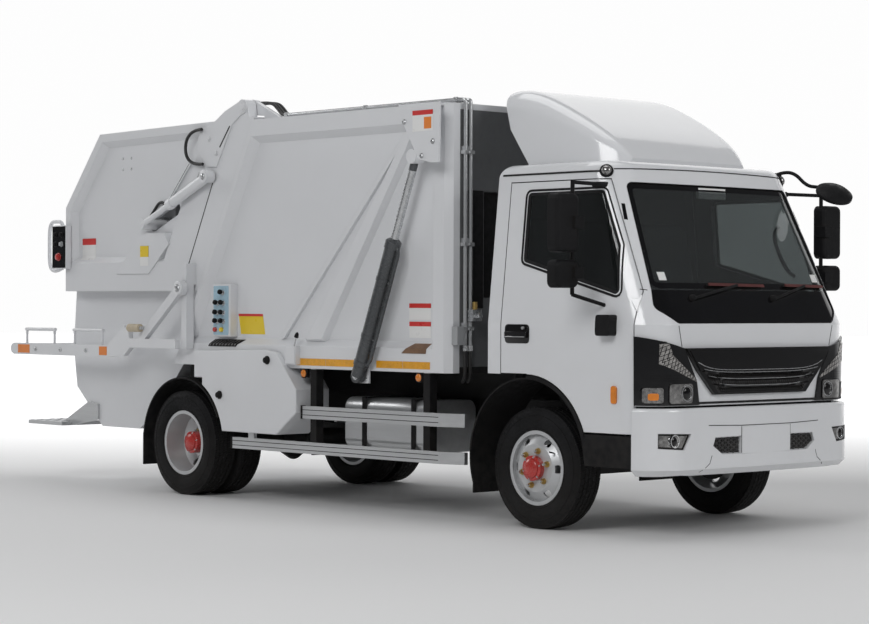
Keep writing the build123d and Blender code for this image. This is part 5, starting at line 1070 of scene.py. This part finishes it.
def hose(name, route, body, diameter):
    """Hose on a smooth route, with its length measured along it."""
    path = spline(route)
    line = Shape()
    line.tube(path, diameter / 2, "hose", 12)
    piece = line.done(name, body)
    length = sum((b - a).length for a, b in zip(path, path[1:]))
    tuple(route[0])
    [tuple(p) for p in path]
    return piece


hose("loop_hose", [(x, LOOP_Y, z) for x, z in LOOP], "tailgate", 0.024)
hose("feed_hose", [(x, FEED_Y, z) for x, z in FEED], "tailgate", 0.022)

# columns: X, shift in Y, Z
OVER_HINGE = ((-0.2, 0, 2.745), (-0.3, 0.02, 2.745), (-0.39, 0.05, 2.8), (-0.47, 0.06, 2.852),
              (-0.62, 0.06, 2.86), (-0.74, 0.06, 2.85), (-0.83, 0.05, 2.8), (-0.86, 0.05, 2.742))
for k, y in enumerate((-0.82, -0.865, -0.905)):
    route = [(x, y + shift + 0.012 * k, z) for x, shift, z in OVER_HINGE]
    piece = hose(f"roof_hose_{k + 1}", route, None, 0.022)
    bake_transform(piece)

# Stage, light and camera

FLOOR, WALL_AWAY, WALL_HIGH = 140, 90, 90
CAMERA_AT = Vector((12.663, -11.338, 1.408))
YAW, PITCH, ROLL = (math.radians(a) for a in (137.32, -0.186, 0.225))
LENS, SENSOR = 96.76, 36
flat_ahead = Vector((math.cos(YAW), math.sin(YAW), 0))
flat_side = Vector((-flat_ahead.y, flat_ahead.x, 0))


def stage_sheet(name, corners, finish):
    mesh = bpy.data.meshes.new(name)
    mesh.from_pydata(corners, [], [(0, 1, 2, 3)])
    mesh.materials.append(finish)
    shown(name, mesh)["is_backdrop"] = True


def stage_finish(name, shade, near, far, glow):
    """Pale matt finish that brightens to white behind the object."""
    made, tree, shader = blank_material(name)
    fill(shader, {"Base Color": (shade, shade, shade, 1), "Roughness": 0.7, "Specular IOR Level": 0.1,
                  "Emission Color": (1, 1, 1, 1)})
    coords = tree.nodes.new("ShaderNodeTexCoord")
    away = tree.nodes.new("ShaderNodeVectorMath")
    away.operation = "DOT_PRODUCT"
    link(tree, coords.outputs["Object"], away.inputs[0])
    away.inputs[1].default_value = flat_ahead
    link(tree, spread(tree, away.outputs["Value"], near, far, 0, glow), shader.inputs["Emission Strength"])
    return made


floor_corners = [(-FLOOR, -FLOOR, 0), (FLOOR, -FLOOR, 0), (FLOOR, FLOOR, 0), (-FLOOR, FLOOR, 0)]
stage_sheet("floor", floor_corners, stage_finish("floor", 0.84, 1.5, 11, 0.93))
wall_foot = flat_ahead * WALL_AWAY
wall_corners = [wall_foot - flat_side * FLOOR, wall_foot + flat_side * FLOOR]
wall_corners += [p + Vector((0, 0, WALL_HIGH)) for p in reversed(wall_corners)]
stage_sheet("backdrop", wall_corners, stage_finish("backdrop", 0.02, 3, 11, 0.97))

world = bpy.data.worlds.new("studio")
scene.world = world
world.use_nodes = True
sky = world.node_tree.nodes["Background"]
fill(sky, {"Color": (0.94, 0.96, 1, 1), "Strength": 0.11})

# columns: name, place, aimed at, width, height, watts
LIGHTS = (
    ("key", (6, -12, 8.5), (0.5, 0, 1.3), 7, 5, 620),
    ("front", (13, 2, 6), (2, 0, 1.3), 5, 5, 330),
    ("back", (-11, -6, 7), (-1, 0, 1.3), 5, 4, 240),
    ("top", (0, 0, 10), (0, 0, 0), 8, 5, 210),
)
for name, place, aim, width, height, watts in LIGHTS:
    lamp = bpy.data.lights.new(name, "AREA")
    lamp.shape = "RECTANGLE"
    lamp.size, lamp.size_y, lamp.energy = width, height, watts
    holder = shown(name, lamp)
    holder.location = place
    holder.rotation_mode = "QUATERNION"
    holder.rotation_quaternion = (Vector(aim) - Vector(place)).to_track_quat("-Z", "Y")

ahead = math.cos(PITCH) * flat_ahead + Vector((0, 0, math.sin(PITCH)))
side = ahead.cross(Vector((0, 0, 1))).normalized()
up = side.cross(ahead)
across = math.cos(ROLL) * side + math.sin(ROLL) * up
above = math.cos(ROLL) * up - math.sin(ROLL) * side
eye = bpy.data.cameras.new("camera")
eye.lens, eye.sensor_width, eye.clip_end = LENS, SENSOR, 400
camera = shown("camera", eye)
camera.matrix_world = Matrix.Translation(CAMERA_AT) @ Matrix((across, above, -ahead)).transposed().to_4x4()
scene.camera = camera
scene.view_settings.view_transform = "Standard"

low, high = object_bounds()
